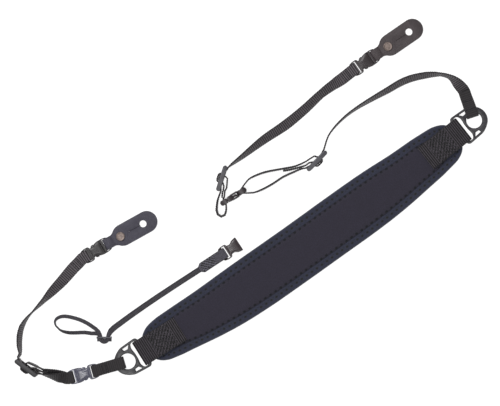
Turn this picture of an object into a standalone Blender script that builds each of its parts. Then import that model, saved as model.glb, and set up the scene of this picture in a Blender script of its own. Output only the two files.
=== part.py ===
"""Camera neck strap, laid out on a flat surface.

A curved neoprene pad carries a webbing tab and a moulded ring at each end. From the
right ring one long strap runs through a slider to a side-release buckle that stands on
its edge, and a second strap runs on to the right end tab. From the left ring a short
doubled strap, a buckle, a slider and a third strap lead to the left end tab. A short
connector with a loop, a keeper and half a buckle lies beside them.

Units are metres, +Z is up and the surface is at Z = 0. X and Y run along the surface.
Every piece is placed from the one before it, starting at the pad, so a changed size
carries the pieces that follow along with it.
"""

import math
from collections import namedtuple

import bmesh
import bpy
from mathutils import Matrix, Vector

# Fits
GAP = 0.0003
LAYER_GAP = 0.00025
SIDE_CLEAR = 0.00035

# Pad
PAD_LENGTH = 0.379
PAD_WIDTH = 0.0572
PAD_THICK = 0.0048
PAD_EDGE_ROUND = 0.0012
PAD_HEADING = 34.8
PANEL_THICK = 0.0010
PANEL_INSET = 0.0088

# Pad tabs
TAB_WIDTH = 0.0265
TAB_THICK = 0.0018
TAB_LAP = 0.0405
TAB_REACH = 0.0081
RIGHT_SWING = 3.4
LEFT_SWING = -2.7

# Rings
RING_THICK = 0.0036
RING_HOLE_RADIUS = 0.0080
RING_RIM = 0.0055
RING_BAR = 0.0042
RING_SLOT = 0.0052
RING_RAIL = 0.0021
RING_STRUT = 0.0023
RING_LOBE_RADIUS = 0.0036
RING_ROUND = 0.0005

# Strap webbing
STRAP_WIDTH = 0.0120
STRAP_THICK = 0.0015
RIGHT_STRAP_REACH = 0.1625
RIGHT_SEWN = 0.0310
UPPER_STRAP_REACH = 0.1692
UPPER_SEWN = 0.0130
LEFT_STRAP_REACH = 0.1232
LEFT_SEWN = 0.0140
RING_STRAP_REACH = 0.0369
RIGHT_LOOP_REACH = 0.0784
MIDDLE_LOOP_REACH = 0.0250
LEFT_LOOP_REACH = 0.0452

# Side-release buckles
FEMALE_LENGTH = 0.0217
MALE_LENGTH = 0.0077
BUCKLE_THICK = 0.0052
BUCKLE_RAIL = 0.0011
END_BAR = 0.0034
END_BAR_SETBACK = 0.0008
BAR_THICK = 0.0028
SLOT_LENGTH = 0.0029
SOCKET_DEPTH = 0.0117
SOCKET_HEIGHT = 0.0030
PRONG_THICK = 0.0024
PRONG_WIDTH = 0.0018
BUCKLE_ROUND = 0.0004

# Sliders
SLIDER_LENGTH = 0.0267
SLIDER_THICK = 0.0046
SLIDER_RAIL = 0.0017
SLIDER_BAR_RADIUS = 0.0015
SLIDER_CENTRE_BAR = 0.0036

# End tabs and rivets
LEATHER_THICK = 0.0016
NECK_WIDTH = 0.0116
END_TAB_WIDTH = 0.0218
END_TAB_LENGTH = 0.0480
RIVET_TO_SLOT = 0.0163
RIVET_TO_HOLE = 0.0258
BUTTON_HOLE = 0.0070
SLIT_LENGTH = 0.0125
SLIT_WIDTH = 0.0005
RIVET_CAP = 0.0088
RIVET_SHANK = 0.0030
RIVET_CAP_THICK = 0.0010
RIVET_BACK_THICK = 0.0008

# Loose connector
CORD_WIDTH = 0.0040
CORD_THICK = 0.0012
CORD_STAGGER = 0.0009
CORD_REACH = 0.1184
CORD_LOOP_REACH = 0.0534
CORD_LAP = 0.0090
PATCH_WIDTH = 0.0107
PATCH_LENGTH = 0.0255
CONNECTOR_CLEARANCE = 0.0093
CONNECTOR_FROM_END = 0.0900
KEEPER_BEND = 0.0037
KEEPER_WIDTH = 0.0152
KEEPER_RAIL = 0.0012
KEEPER_BAR_THICK = 0.0011

# Headings in degrees, counted from +X towards +Y
RIGHT_STRAP_START = 108.5
RIGHT_STRAP_HEADING = 194.5
RIGHT_SLIDER_HEADING = 45.9
RIGHT_LOOP_HEADING = 201.8
MIDDLE_BUCKLE_HEADING = 211.5
MIDDLE_LOOP_HEADING = 91.1
MIDDLE_SLIDER_HEADING = 72.2
UPPER_STRAP_HEADING = 39.5
RIGHT_BUCKLE_HEADING = 34.6
RIGHT_END_TAB_HEADING = 34.5
RING_STRAP_HEADING = 196.4
RING_BUCKLE_HEADING = 195.3
LEFT_LOOP_HEADING = 167.1
LEFT_SLIDER_HEADING = 143.0
LEFT_STRAP_HEADING = 62.6
LEFT_BUCKLE_HEADING = 31.0
LEFT_END_TAB_HEADING = 29.2
CONNECTOR_HEADING = 33.3
CORD_HEADING = 216.2
KEEPER_HEADING = 0.0
CORD_LOOP_HEADING = 160.9

# Fineness of the strips: longest stretch between sections, sections in a quarter turn
RUN_STEP = 0.0060
CORNER_STEPS = 3

# Sizes that follow from the ones above
FEMALE_BAR = END_BAR_SETBACK + END_BAR / 2
FEMALE_SLOT = END_BAR_SETBACK + END_BAR
BUCKLE_LENGTH = FEMALE_LENGTH + GAP + MALE_LENGTH
MALE_BAR = BUCKLE_LENGTH - END_BAR_SETBACK / 2 - BAR_THICK / 2
MALE_BAR_FACE = MALE_BAR - BAR_THICK / 2
SLOT_WIDTH = STRAP_WIDTH + 2 * SIDE_CLEAR
BUCKLE_WIDTH = SLOT_WIDTH + 2 * BUCKLE_RAIL
BUCKLE_MID_Z = max(STRAP_THICK, LEATHER_THICK) + GAP + BAR_THICK / 2
SLIDER_WIDTH = SLOT_WIDTH + 2 * SLIDER_RAIL
EDGE_Z = SLIDER_WIDTH / 2
RING_BOTTOM = max(TAB_THICK, STRAP_THICK) + GAP
RING_MID_Z = RING_BOTTOM + RING_THICK / 2
RING_RADIUS = RING_HOLE_RADIUS + RING_RIM
RING_TO_FOLD = RING_HOLE_RADIUS + RING_STRUT + RING_SLOT - TAB_THICK - GAP
RING_BAR_FACE = RING_HOLE_RADIUS + RING_STRUT + RING_SLOT
RING_BACK = RING_BAR_FACE + RING_BAR
PANEL_TOP = PAD_THICK + GAP + PANEL_THICK
HIGH_CORD = CORD_THICK + LAYER_GAP

# One row for each point of the pad's outline: share of the half length, share of the width
PAD_OUTLINE = (
    (-1.000, -0.02), (-0.986, 0.18), (-0.950, 0.29), (-0.890, 0.345), (-0.800, 0.354),
    (-0.620, 0.347), (-0.400, 0.360), (-0.040, 0.365), (0.300, 0.383), (0.480, 0.382),
    (0.640, 0.360), (0.850, 0.350), (0.935, 0.310), (0.983, 0.20), (1.000, 0.00),
    (0.990, -0.22), (0.950, -0.360), (0.870, -0.437), (0.712, -0.512), (0.554, -0.573),
    (0.396, -0.606), (0.150, -0.620), (-0.120, -0.631), (-0.370, -0.628),
    (-0.560, -0.587), (-0.790, -0.472), (-0.880, -0.422), (-0.952, -0.345),
    (-0.990, -0.21),
)
PAD_TOP_EDGE = 0.355

# Free runs of webbing: along and across as shares of the run's reach, roll in degrees
# from lying flat, and lift above the surface as a share of the webbing's width
RIGHT_RUN = (
    (0.037, -0.238, 30, 0.0), (0.057, -0.272, 58, 0.0), (0.084, -0.300, 76, 0.0),
    (0.128, -0.324, 80, 0.0), (0.160, -0.333, 72, 0.0), (0.221, -0.343, 62, 0.0),
    (0.320, -0.346, 58, 0.0), (0.390, -0.335, 58, 0.0), (0.463, -0.314, 61, 0.0),
    (0.544, -0.293, 68, 0.0), (0.606, -0.276, 73, 0.0), (0.679, -0.254, 79, 0.0),
    (0.753, -0.225, 83, 0.0), (0.832, -0.181, 86, 0.06), (0.895, -0.130, 89, 0.12),
)
UPPER_RUN = (
    (0.174, 0.023, 70, 0.05), (0.336, 0.019, 47, 0.0), (0.494, 0.004, 35, 0.0),
    (0.642, 0.004, 41, 0.0), (0.771, 0.012, 48, 0.0), (0.862, 0.008, 34, 0.0),
)
LEFT_RUN = (
    (0.075, 0.098, 84, 0.10), (0.126, 0.131, 74, 0.03), (0.202, 0.169, 70, 0.0),
    (0.281, 0.188, 72, 0.0), (0.365, 0.181, 84, 0.0), (0.419, 0.166, 90, 0.0),
    (0.470, 0.150, 82, 0.0), (0.548, 0.127, 70, 0.0), (0.650, 0.099, 44, 0.0),
    (0.760, 0.067, 24, 0.0),
)

# Strands between a slider and its buckle. The outer strand leads from the slider to the
# buckle, the inner one back to the slider, and the tail is sewn beside the inner one
RIGHT_OUTER = (
    (0.215, 0.020, 88, 0.14), (0.324, 0.022, 86, 0.10), (0.475, 0.030, 86, 0.06),
    (0.629, 0.061, 86, 0.06), (0.783, 0.079, 86, 0.10), (0.900, 0.075, 89, 0.14),
)
RIGHT_INNER = (
    (0.905, -0.102, 90, 0.14), (0.821, -0.116, 93, 0.10), (0.665, -0.112, 94, 0.06),
    (0.462, -0.074, 93, 0.08), (0.275, -0.040, 92, 0.12),
)
RIGHT_TAIL = (
    (0.226, -0.0060, 88, 0.12), (0.356, -0.0225, 87, 0.10), (0.446, -0.0430, 87, 0.08),
)
MIDDLE_OUTER = (
    (0.175, 0.172, 88, 0.10), (-0.064, 0.217, 86, 0.06), (-0.263, 0.233, 85, 0.04),
    (-0.436, 0.185, 85, 0.04), (-0.520, 0.050, 85, 0.04), (-0.461, -0.085, 85, 0.04),
    (-0.331, -0.137, 86, 0.05),
)
MIDDLE_INNER = ((0.260, -0.082, 90, 0.12), (0.491, -0.112, 90, 0.14))
MIDDLE_TAIL = ((0.450, -0.015, 90, 0.14), (0.230, 0.008, 90, 0.13))
LEFT_OUTER = (
    (0.630, 0.063, 98, 0.05), (0.447, 0.071, 115, 0.0), (0.268, 0.064, 140, 0.22),
    (0.127, 0.031, 162, 0.20),
)
LEFT_INNER = (
    (0.217, 0.019, 20, 0.0), (0.373, -0.005, 40, 0.0), (0.514, -0.025, 62, 0.0),
    (0.643, -0.044, 80, 0.04),
)
LEFT_TAIL = ((0.630, 0.010, 98, 0.06), (0.549, 0.019, 106, 0.0))

# How far the sewn ends turn from their buckles, in degrees
UPPER_SEWN_TURN = 3.0
LEFT_SEWN_TURN = 13.0

# The connector's cord from patch to keeper, and round its loop from strand to strand
CORD_RUN = ((0.25, -0.014), (0.52, -0.026), (0.80, -0.030), (0.915, -0.024))
CORD_LOOP = (
    (0.150, -0.056, 0, 0.20), (0.262, -0.024, 0, 0.02), (0.386, 0.000, 8, 0.02),
    (0.531, 0.055, 18, 0.02), (0.656, 0.098, 25, 0.02), (0.762, 0.113, 45, 0.02),
    (0.850, 0.103, 66, 0.02), (0.935, 0.062, 72, 0.02), (0.980, 0.000, 62, 0.02),
    (0.975, -0.061, 48, 0.02), (0.925, -0.121, 36, 0.02), (0.840, -0.165, 26, 0.02),
    (0.716, -0.187, 22, 0.02), (0.553, -0.195, 16, 0.02), (0.409, -0.179, 8, 0.04),
    (0.285, -0.150, 0, 0.30), (0.150, -0.102, 0, 0.62),
)

# The ring's flanks: angle in degrees and swell, and a window as shares of the ring's radius
RING_FLANK = ((65, 1.02), (76, 1.05), (86, 1.10), (95, 1.145))
RING_WINDOW = (
    (-0.13, 0.97), (-0.17, 0.79), (-0.30, 0.775), (-0.47, 0.76), (-0.67, 1.00),
)
# Half outline of the female buckle: shares of its length and of its half width
FEMALE_OUTLINE = (
    (0.00, 0.78), (0.04, 0.90), (0.18, 1.00), (0.36, 1.00), (0.42, 0.92), (0.455, 0.68),
    (0.58, 0.63), (0.66, 0.72), (0.74, 0.90), (0.90, 1.00), (1.00, 1.00),
)
# Half outline of the male buckle's base, counted from the mouth
MALE_OUTLINE = ((0.00, 1.00), (0.35, 1.00), (0.75, 0.93), (0.95, 0.84), (1.00, 0.76))
# One prong: shares of the socket's depth from the mouth, shares of the half width
PRONG = (
    (0.00, 0.46), (0.58, 0.46), (0.91, 0.52), (0.91, 0.75), (0.82, 0.88), (0.64, 0.93),
    (0.56, 0.73), (0.00, 0.70),
)
# The end tab's plan: share of the length from shoulder to tip, share of the half width
SHOULDER = ((-0.02, 0.54), (0.03, 0.64), (0.08, 0.83), (0.14, 0.95), (0.20, 1.00))

# The knots between which each round of the smooth spline mixes its points
SPLINE_WINDOWS = (((0, 1), (1, 2), (2, 3)), ((0, 2), (1, 3)), ((1, 2),))
Key = namedtuple("Key", "point side width")
UP = Vector((0.0, 0.0, 1.0))


# Scene and materials

def clear_scene():
    """Remove the objects that a new file starts with."""
    for item in list(bpy.data.objects):
        bpy.data.objects.remove(item, do_unlink=True)


def collection(name):
    """A new collection under the scene's own."""
    group = bpy.data.collections.new(name)
    bpy.context.scene.collection.children.link(group)
    return group


def material(name, colour, roughness, metallic=0.0):
    """A plain Principled material; the colour is linear RGB."""
    finish = bpy.data.materials.new(name)
    finish.use_nodes = True
    shader = finish.node_tree.nodes["Principled BSDF"]
    shader.inputs["Base Color"].default_value = (*colour, 1.0)
    shader.inputs["Roughness"].default_value = roughness
    shader.inputs["Metallic"].default_value = metallic
    finish.diffuse_color = (*colour, 1.0)
    return finish


# Placing and meshing

def place(origin, heading, z=0.0):
    """A frame at a point of the surface whose X axis points along the heading."""
    at = Matrix.Translation((origin[0], origin[1], z))
    return at @ Matrix.Rotation(math.radians(heading), 4, "Z")


def point_on(frame, along, across=0.0):
    """The world point along and across in a frame, at the surface's height."""
    spot = frame @ Vector((along, across, 0.0))
    return Vector((spot.x, spot.y, 0.0))


def part(name, mesh, finish, frame=None):
    """A named object of the model that carries a mesh and its material."""
    item = bpy.data.objects.new(name, mesh)
    if not mesh.materials:
        mesh.materials.append(finish)
    PARTS.objects.link(item)
    item.parent = ROOT
    if frame is not None:
        item.matrix_local = frame
    return item


def cutter(mesh):
    """A helper object that a Boolean modifier reads."""
    item = bpy.data.objects.new("cutter", mesh)
    item.display_type = "WIRE"
    item.hide_render = True
    CUTTERS.objects.link(item)
    return item


def box_mesh(low, high):
    """An axis-aligned box between two corners."""
    shape = bmesh.new()
    size = [b - a for a, b in zip(low, high)]
    middle = [(a + b) / 2 for a, b in zip(low, high)]
    bmesh.ops.create_cube(shape, size=1.0, matrix=Matrix.LocRotScale(middle, None, size))
    return finished(shape, "box")


def rod_mesh(radius, low, high, sides):
    """An upright rod on the Z axis, turned a little so no corner falls on an axis."""
    shape = bmesh.new()
    at = Matrix.Translation((0.0, 0.0, (low + high) / 2))
    at = at @ Matrix.Rotation(math.radians(4), 4, "Z")
    bmesh.ops.create_cone(shape, cap_ends=True, segments=sides, radius1=radius,
                          radius2=radius, depth=high - low, matrix=at)
    return finished(shape, "rod")


def finished(shape, name):
    """Turn a bmesh into mesh data with its faces pointing out."""
    bmesh.ops.recalc_face_normals(shape, faces=shape.faces)
    if shape.calc_volume(signed=True) < 0.0:
        bmesh.ops.reverse_faces(shape, faces=shape.faces)
    mesh = bpy.data.meshes.new(name)
    shape.to_mesh(mesh)
    shape.free()
    return mesh


def plate_mesh(outlines, thick, rounding=0.0, smooth_resolution=0):
    """A flat plate from closed outlines; outlines inside the first one are holes.

    Outlines are straight between their points unless a smooth resolution is given.
    """
    curve = bpy.data.curves.new("plate", "CURVE")
    curve.dimensions = "2D"
    curve.fill_mode = "BOTH"
    curve.extrude = thick / 2 - rounding
    curve.bevel_depth = rounding
    curve.bevel_resolution = 1 if smooth_resolution else 0
    curve.offset = -rounding
    curve.resolution_u = max(smooth_resolution, 1)
    for outline in outlines:
        if smooth_resolution:
            spline = curve.splines.new("BEZIER")
            spline.bezier_points.add(len(outline) - 1)
            for knot, (x, y) in zip(spline.bezier_points, outline):
                knot.co = (x, y, 0.0)
                knot.handle_left_type = "AUTO"
                knot.handle_right_type = "AUTO"
        else:
            spline = curve.splines.new("POLY")
            spline.points.add(len(outline) - 1)
            for knot, (x, y) in zip(spline.points, outline):
                knot.co = (x, y, 0.0, 1.0)
        spline.use_cyclic_u = True
    holder = bpy.data.objects.new("plate", curve)
    CUTTERS.objects.link(holder)
    bpy.context.view_layer.update()
    mesh = baked(holder)
    bpy.data.curves.remove(curve)
    shape = bmesh.new()
    shape.from_mesh(mesh)
    bmesh.ops.remove_doubles(shape, verts=shape.verts, dist=1e-7)
    bpy.data.meshes.remove(mesh)
    return finished(shape, "plate")


def baked(item):
    """The evaluated mesh of an object, which is then removed."""
    view = bpy.context.evaluated_depsgraph_get()
    mesh = bpy.data.meshes.new_from_object(item.evaluated_get(view))
    bpy.data.objects.remove(item, do_unlink=True)
    return mesh


def combine(base, operations):
    """Apply (operation, mesh) Booleans to a base mesh and return the result."""
    body = bpy.data.objects.new("body", base)
    CUTTERS.objects.link(body)
    helpers = []
    for operation, mesh in operations:
        helper = cutter(mesh)
        helpers.append(helper)
        step = body.modifiers.new("step", "BOOLEAN")
        step.operation = operation
        step.solver = "EXACT"
        step.object = helper
    bpy.context.view_layer.update()
    result = baked(body)
    for helper in helpers:
        bpy.data.objects.remove(helper, do_unlink=True)
    return result


def moved(mesh, x=0.0, y=0.0, z=0.0):
    """Shift mesh data and return it."""
    mesh.transform(Matrix.Translation((x, y, z)))
    return mesh


def mirrored_outline(rows, length, half_width, start=0.0):
    """A closed outline that is symmetric about X, from rows of its upper half."""
    upper = [(start + along * length, across * half_width) for along, across in rows]
    return upper + [(x, -y) for x, y in reversed(upper)]


def arc(centre, radius, first, last, steps):
    """Points on an arc, angles in degrees, both ends included."""
    points = []
    for index in range(steps + 1):
        angle = math.radians(first + (last - first) * index / steps)
        points.append((centre[0] + radius * math.cos(angle),
                       centre[1] + radius * math.sin(angle)))
    return points


# Strips of webbing

def u_turn(face, half, offset):
    """Points round the face of a bar: out along one side, back along the other.

    Each is (along, across): along grows away from the face, across falls from
    the first side of the bar to the second.
    """
    first = arc((face, half), offset, 90, 0, CORNER_STEPS)
    second = arc((face, -half), offset, 0, -90, CORNER_STEPS)
    return first + second


def upright_keys(frame, rows, width):
    """Keys of a flat strip that bends in the upright plane of a frame."""
    across = frame.to_3x3() @ Vector((0.0, 1.0, 0.0))
    base = Vector((frame.translation.x, frame.translation.y, 0.0))
    turn = frame.to_3x3()
    return [Key(base + turn @ Vector((along, 0.0, z)), across, width) for along, z in rows]


def edge_keys(frame, rows, z, width):
    """Keys of a strip that stands on its edge and bends in the surface's plane."""
    return [Key(point_on(frame, x, y) + UP * z, UP, width) for x, y in rows]


def run_keys(frame, reach, rows, width, thick):
    """Keys of a free run; the side is left as a roll until the path is known."""
    keys = []
    for along, across, roll, lift in rows:
        lean = math.radians(roll)
        z = abs(math.sin(lean)) * width / 2 + abs(math.cos(lean)) * thick / 2 + lift * width
        keys.append(Key(point_on(frame, along * reach, across * reach) + UP * z, roll, width))
    return keys


def with_sides(keys):
    """Turn rolls into side directions and keep neighbours from facing apart."""
    result = []
    for index, key in enumerate(keys):
        side = key.side
        if not isinstance(side, Vector):
            ahead = keys[min(index + 1, len(keys) - 1)].point
            behind = keys[max(index - 1, 0)].point
            travel = Vector((ahead.x - behind.x, ahead.y - behind.y, 0.0)).normalized()
            lean = math.radians(side)
            side = travel.cross(UP) * math.cos(lean) + UP * math.sin(lean)
        if result and side.dot(result[-1].side) < 0.0:
            side = -side
        result.append(Key(key.point, side, key.width))
    return result


def spline_point(points, share):
    """The point at a share between the middle two of four, on a smooth spline."""
    knots = [0.0]
    for first, second in zip(points, points[1:]):
        knots.append(knots[-1] + math.sqrt(max((second - first).length, 1e-9)))
    at = knots[1] + share * (knots[2] - knots[1])
    level = list(points)
    for windows in SPLINE_WINDOWS:
        level = [first.lerp(second, (at - knots[low]) / (knots[high] - knots[low]))
                 for first, second, (low, high) in zip(level, level[1:], windows)]
    return level[0]


def filled(keys, step):
    """Add keys along the smooth spline wherever neighbours lie far apart."""
    result = []
    for index in range(len(keys) - 1):
        here, after = keys[index], keys[index + 1]
        before = keys[index - 1].point if index else here.point * 2 - after.point
        last = index + 2 >= len(keys)
        beyond = after.point * 2 - here.point if last else keys[index + 2].point
        turn = here.side.angle(after.side, 0.0)
        count = max(1, math.ceil((after.point - here.point).length / step),
                    math.ceil(turn / math.radians(15)))
        if (after.point - here.point).length < step / 3:
            count = 1
        for part_index in range(count):
            share = part_index / count
            spot = spline_point([before, here.point, after.point, beyond], share)
            side = here.side.lerp(after.side, share).normalized()
            result.append(Key(spot, side, here.width + (after.width - here.width) * share))
    result.append(keys[-1])
    return result


def strip_mesh(keys, thick, step=RUN_STEP):
    """A strip of even thickness lofted through rectangles along its keys.

    A section that would sink into the surface is lifted onto it.
    """
    sections = filled(with_sides(keys), step)
    shape = bmesh.new()
    rings = []
    for index, key in enumerate(sections):
        ahead = sections[min(index + 1, len(sections) - 1)].point
        behind = sections[max(index - 1, 0)].point
        travel = (ahead - behind).normalized()
        side = (key.side - travel * key.side.dot(travel)).normalized()
        normal = side.cross(travel)
        half, rise = side * key.width / 2, normal * thick / 2
        corners = (half + rise, rise - half, -half - rise, half - rise)
        sunk = min(key.point.z + corner.z for corner in corners)
        centre = key.point - UP * min(sunk, 0.0)
        rings.append([shape.verts.new(centre + corner) for corner in corners])
    for ring, following in zip(rings, rings[1:]):
        for index in range(4):
            after = (index + 1) % 4
            shape.faces.new((ring[index], ring[after], following[after], following[index]))
    shape.faces.new(rings[0])
    shape.faces.new(reversed(rings[-1]))
    return finished(shape, "strip")


# Pad, panel and tabs

def pad_outline():
    """The pad's outline in its own frame."""
    return [(along * PAD_LENGTH / 2, across * PAD_WIDTH) for along, across in PAD_OUTLINE]


def panel_outline():
    """The panel's outline: the pad's long edges drawn in, with blunt ends."""
    half, reach = PAD_LENGTH / 2, PAD_LENGTH / 2 - PANEL_INSET
    inner = [row for row in PAD_OUTLINE if abs(row[0]) < 0.88]
    upper = [(along * half, across * PAD_WIDTH - PANEL_INSET)
             for along, across in inner if across > 0]
    lower = [(along * half, across * PAD_WIDTH + PANEL_INSET)
             for along, across in inner if across < 0]
    right = [(reach, 0.08 * PAD_WIDTH), (reach, -0.10 * PAD_WIDTH)]
    left = [(-reach, -0.12 * PAD_WIDTH), (-reach, 0.08 * PAD_WIDTH)]
    return left + upper + right + lower


def tab_frames():
    """Frames at the two ring holes, X pointing away from the pad."""
    fold = PAD_LENGTH / 2 + TAB_REACH
    frames = []
    for sign, swing in ((1, RIGHT_SWING), (-1, LEFT_SWING)):
        heading = PAD_HEADING + swing + (0 if sign > 0 else 180)
        at_fold = place(point_on(PAD, sign * fold), heading)
        frames.append(place(point_on(at_fold, RING_TO_FOLD), heading))
    return frames


def tab_pocket(ring_frame):
    """The seat that the tab's lower leg presses into the pad's underside."""
    start = -RING_TO_FOLD - TAB_REACH - TAB_LAP - GAP
    half = TAB_WIDTH / 2 + 2 * GAP
    seat = box_mesh((start, -half, -PAD_THICK), (0.0, half, TAB_THICK + GAP))
    seat.transform(ring_frame)
    return seat


def build_pad():
    """Neoprene base with seats for the tabs, and the fabric panel on its top."""
    base = plate_mesh([pad_outline()], PAD_THICK, PAD_EDGE_ROUND, 3)
    base = moved(base, z=PAD_THICK / 2)
    base.transform(PAD)
    cuts = [("DIFFERENCE", tab_pocket(frame)) for frame in RING_FRAMES]
    part("pad_base", combine(base, cuts), NEOPRENE)
    panel = plate_mesh([panel_outline()], PANEL_THICK, 0.0, 3)
    panel = moved(panel, z=PAD_THICK + GAP + PANEL_THICK / 2)
    part("pad_panel", panel, PANEL_CLOTH, PAD)


def build_pad_tab(name, ring_frame):
    """Heavy webbing that folds round the ring's bar and grips the pad between its legs."""
    far = -RING_TO_FOLD - TAB_REACH - TAB_LAP
    pad_edge = -RING_TO_FOLD - TAB_REACH - PANEL_INSET
    low = TAB_THICK / 2
    high = PANEL_TOP + GAP + TAB_THICK / 2
    turn = u_turn(-RING_BAR_FACE, RING_THICK / 2, GAP + TAB_THICK / 2)
    lower = [(along, RING_MID_Z - across) for along, across in turn]
    rows = [(far, low), (pad_edge, low), (-RING_BACK, low)] + lower
    rows += [(-RING_BACK, lower[-1][1]), (pad_edge, high), (far, high)]
    part(name, strip_mesh(upright_keys(ring_frame, rows, TAB_WIDTH), TAB_THICK, TAB_LAP),
         TAB_WEBBING)


# Rings

def ring_outline():
    """Round nose, flanks that swell towards the tab and two lobes that carry the bar."""
    lobe_x = -(RING_BACK - RING_LOBE_RADIUS)
    lobe_y = TAB_WIDTH / 2 + GAP * 3 + RING_RAIL - RING_LOBE_RADIUS
    nose = arc((0.0, 0.0), RING_RADIUS, 0, 54, 7)
    for angle, swell in RING_FLANK:
        nose += arc((0.0, 0.0), RING_RADIUS * swell, angle, angle, 1)[:1]
    upper = nose + arc((lobe_x, lobe_y), RING_LOBE_RADIUS, 88, 180, 5)
    return upper + [(x, -y) for x, y in reversed(upper[1:])]


def ring_windows():
    """The pair of small openings between the round hole and the flanks."""
    upper = [(x * RING_RADIUS, y * RING_RADIUS) for x, y in RING_WINDOW]
    return [upper, [(x, -y) for x, y in upper]]


def ring_slot():
    """The slot for the tab: straight at the bar, wavy towards the round hole."""
    half = TAB_WIDTH / 2 + GAP * 2
    wall = -(RING_HOLE_RADIUS + RING_STRUT)
    bar = -RING_BAR_FACE
    upper = [(bar, half), (wall - RING_SLOT * 0.40, half), (wall - RING_SLOT * 0.10, half * 0.90),
             (wall + RING_SLOT * 0.12, half * 0.68), (wall + RING_SLOT * 0.08, half * 0.46),
             (wall - RING_SLOT * 0.02, half * 0.22)]
    return upper + [(x, -y) for x, y in reversed(upper)]


def ring_mesh():
    """The moulded ring, flat on the surface of its own frame."""
    hole = arc((0.0, 0.0), RING_HOLE_RADIUS, 0, 345, 23)
    outlines = [ring_outline(), hole, ring_slot()] + ring_windows()
    return moved(plate_mesh(outlines, RING_THICK, RING_ROUND), z=RING_MID_Z)


# Buckles, sliders and keeper

def recess(low_x, high_x, side):
    """Room above or below an end bar for the strip that wraps it."""
    half = SLOT_WIDTH / 2
    floor_z = BAR_THICK / 2
    top_z = BUCKLE_THICK
    low, high = (floor_z, top_z) if side > 0 else (-top_z, -floor_z)
    return box_mesh((low_x, -half, low), (high_x, half, high))


def female_mesh():
    """Socket half: end bar, slot, waisted body and a socket open at the mouth."""
    half = BUCKLE_WIDTH / 2
    body = plate_mesh([mirrored_outline(FEMALE_OUTLINE, FEMALE_LENGTH, half)],
                      BUCKLE_THICK, BUCKLE_ROUND)
    slot_end = FEMALE_SLOT + SLOT_LENGTH
    slot = box_mesh((FEMALE_SLOT, -SLOT_WIDTH / 2, -BUCKLE_THICK),
                    (slot_end, SLOT_WIDTH / 2, BUCKLE_THICK))
    socket_half = half - BUCKLE_RAIL * 1.2
    socket = box_mesh((FEMALE_LENGTH - SOCKET_DEPTH, -socket_half, -SOCKET_HEIGHT / 2),
                      (FEMALE_LENGTH * 1.2, socket_half, SOCKET_HEIGHT / 2))
    cuts = [slot, socket]
    cuts += [recess(-END_BAR, FEMALE_SLOT + GAP, side) for side in (1, -1)]
    return combine(body, [("DIFFERENCE", cut) for cut in cuts])


def male_mesh():
    """Plug half: end bar and slot, two latch prongs and a guide tongue."""
    half = BUCKLE_WIDTH / 2
    start = FEMALE_LENGTH + GAP
    base = plate_mesh([mirrored_outline(MALE_OUTLINE, MALE_LENGTH, half, start)],
                      BUCKLE_THICK, BUCKLE_ROUND)
    slot = box_mesh((MALE_BAR_FACE - SLOT_LENGTH, -SLOT_WIDTH / 2, -BUCKLE_THICK),
                    (MALE_BAR_FACE, SLOT_WIDTH / 2, BUCKLE_THICK))
    outlines = []
    for side in (1, -1):
        outlines.append([(start + (GAP if along == 0.0 else -along * SOCKET_DEPTH),
                          side * across * half) for along, across in PRONG])
    tongue = PRONG_WIDTH / 2
    guide = box_mesh((start - SOCKET_DEPTH * 0.7, -tongue, -PRONG_THICK / 2),
                     (start + GAP, tongue, PRONG_THICK / 2))
    steps = [("UNION", plate_mesh([outline], PRONG_THICK)) for outline in outlines]
    steps.append(("UNION", guide))
    steps.append(("DIFFERENCE", slot))
    steps += [("DIFFERENCE", recess(MALE_BAR_FACE - GAP, BUCKLE_LENGTH * 1.2, side))
              for side in (1, -1)]
    return combine(base, steps)


def slider_mesh():
    """Three bars between two round-ended rails; stands on one rail."""
    radius = SLIDER_THICK / 2
    bar_x = SLIDER_LENGTH / 2 - radius
    rail_outline = arc((bar_x, 0.0), radius, -90, 90, 6) + arc((-bar_x, 0.0), radius, 90, 270, 6)
    half = SLIDER_WIDTH / 2
    bars = []
    for x in (-bar_x, bar_x):
        bars.append(moved(rod_mesh(SLIDER_BAR_RADIUS, -half + GAP, half - GAP, 12), x=x))
    centre = arc((SLIDER_CENTRE_BAR / 2 - SLIDER_BAR_RADIUS, 0.0), SLIDER_BAR_RADIUS, -90, 90, 4)
    centre += [(-x, -y) for x, y in centre]
    bars.append(plate_mesh([centre], 2 * (half - GAP)))
    steps = [("UNION", bar) for bar in bars]
    lower = moved(plate_mesh([rail_outline], SLIDER_RAIL, GAP), z=-half + SLIDER_RAIL / 2)
    upper = moved(plate_mesh([rail_outline], SLIDER_RAIL, GAP), z=half - SLIDER_RAIL / 2)
    steps.append(("UNION", upper))
    return combine(lower, steps)


def keeper_mesh():
    """A small frame: three low sides and a high rail that the cords pass under."""
    outer = KEEPER_WIDTH / 2
    inner = outer - KEEPER_RAIL
    half = outer - GAP
    rail_low = KEEPER_BAR_THICK + CORD_THICK + HIGH_CORD + 2 * GAP
    top = rail_low + KEEPER_BAR_THICK
    back = KEEPER_BEND * 0.66
    front = back - KEEPER_RAIL
    foot = -KEEPER_BEND * 0.62
    side_top = KEEPER_BAR_THICK - GAP / 2
    low_rail = box_mesh((-half, foot, 0.0), (half, foot + KEEPER_RAIL, KEEPER_BAR_THICK))
    pieces = [box_mesh((-half, front, rail_low), (half, back, top))]
    for low, high in ((-outer, -inner), (inner, outer)):
        pieces.append(box_mesh((low, front - GAP, 0.0), (high, back + GAP, top + GAP)))
        pieces.append(box_mesh((low + GAP, foot + GAP, 0.0), (high - GAP, back, side_top)))
    return combine(low_rail, [("UNION", mesh) for mesh in pieces])


# Rings of keys at the hardware

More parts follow.
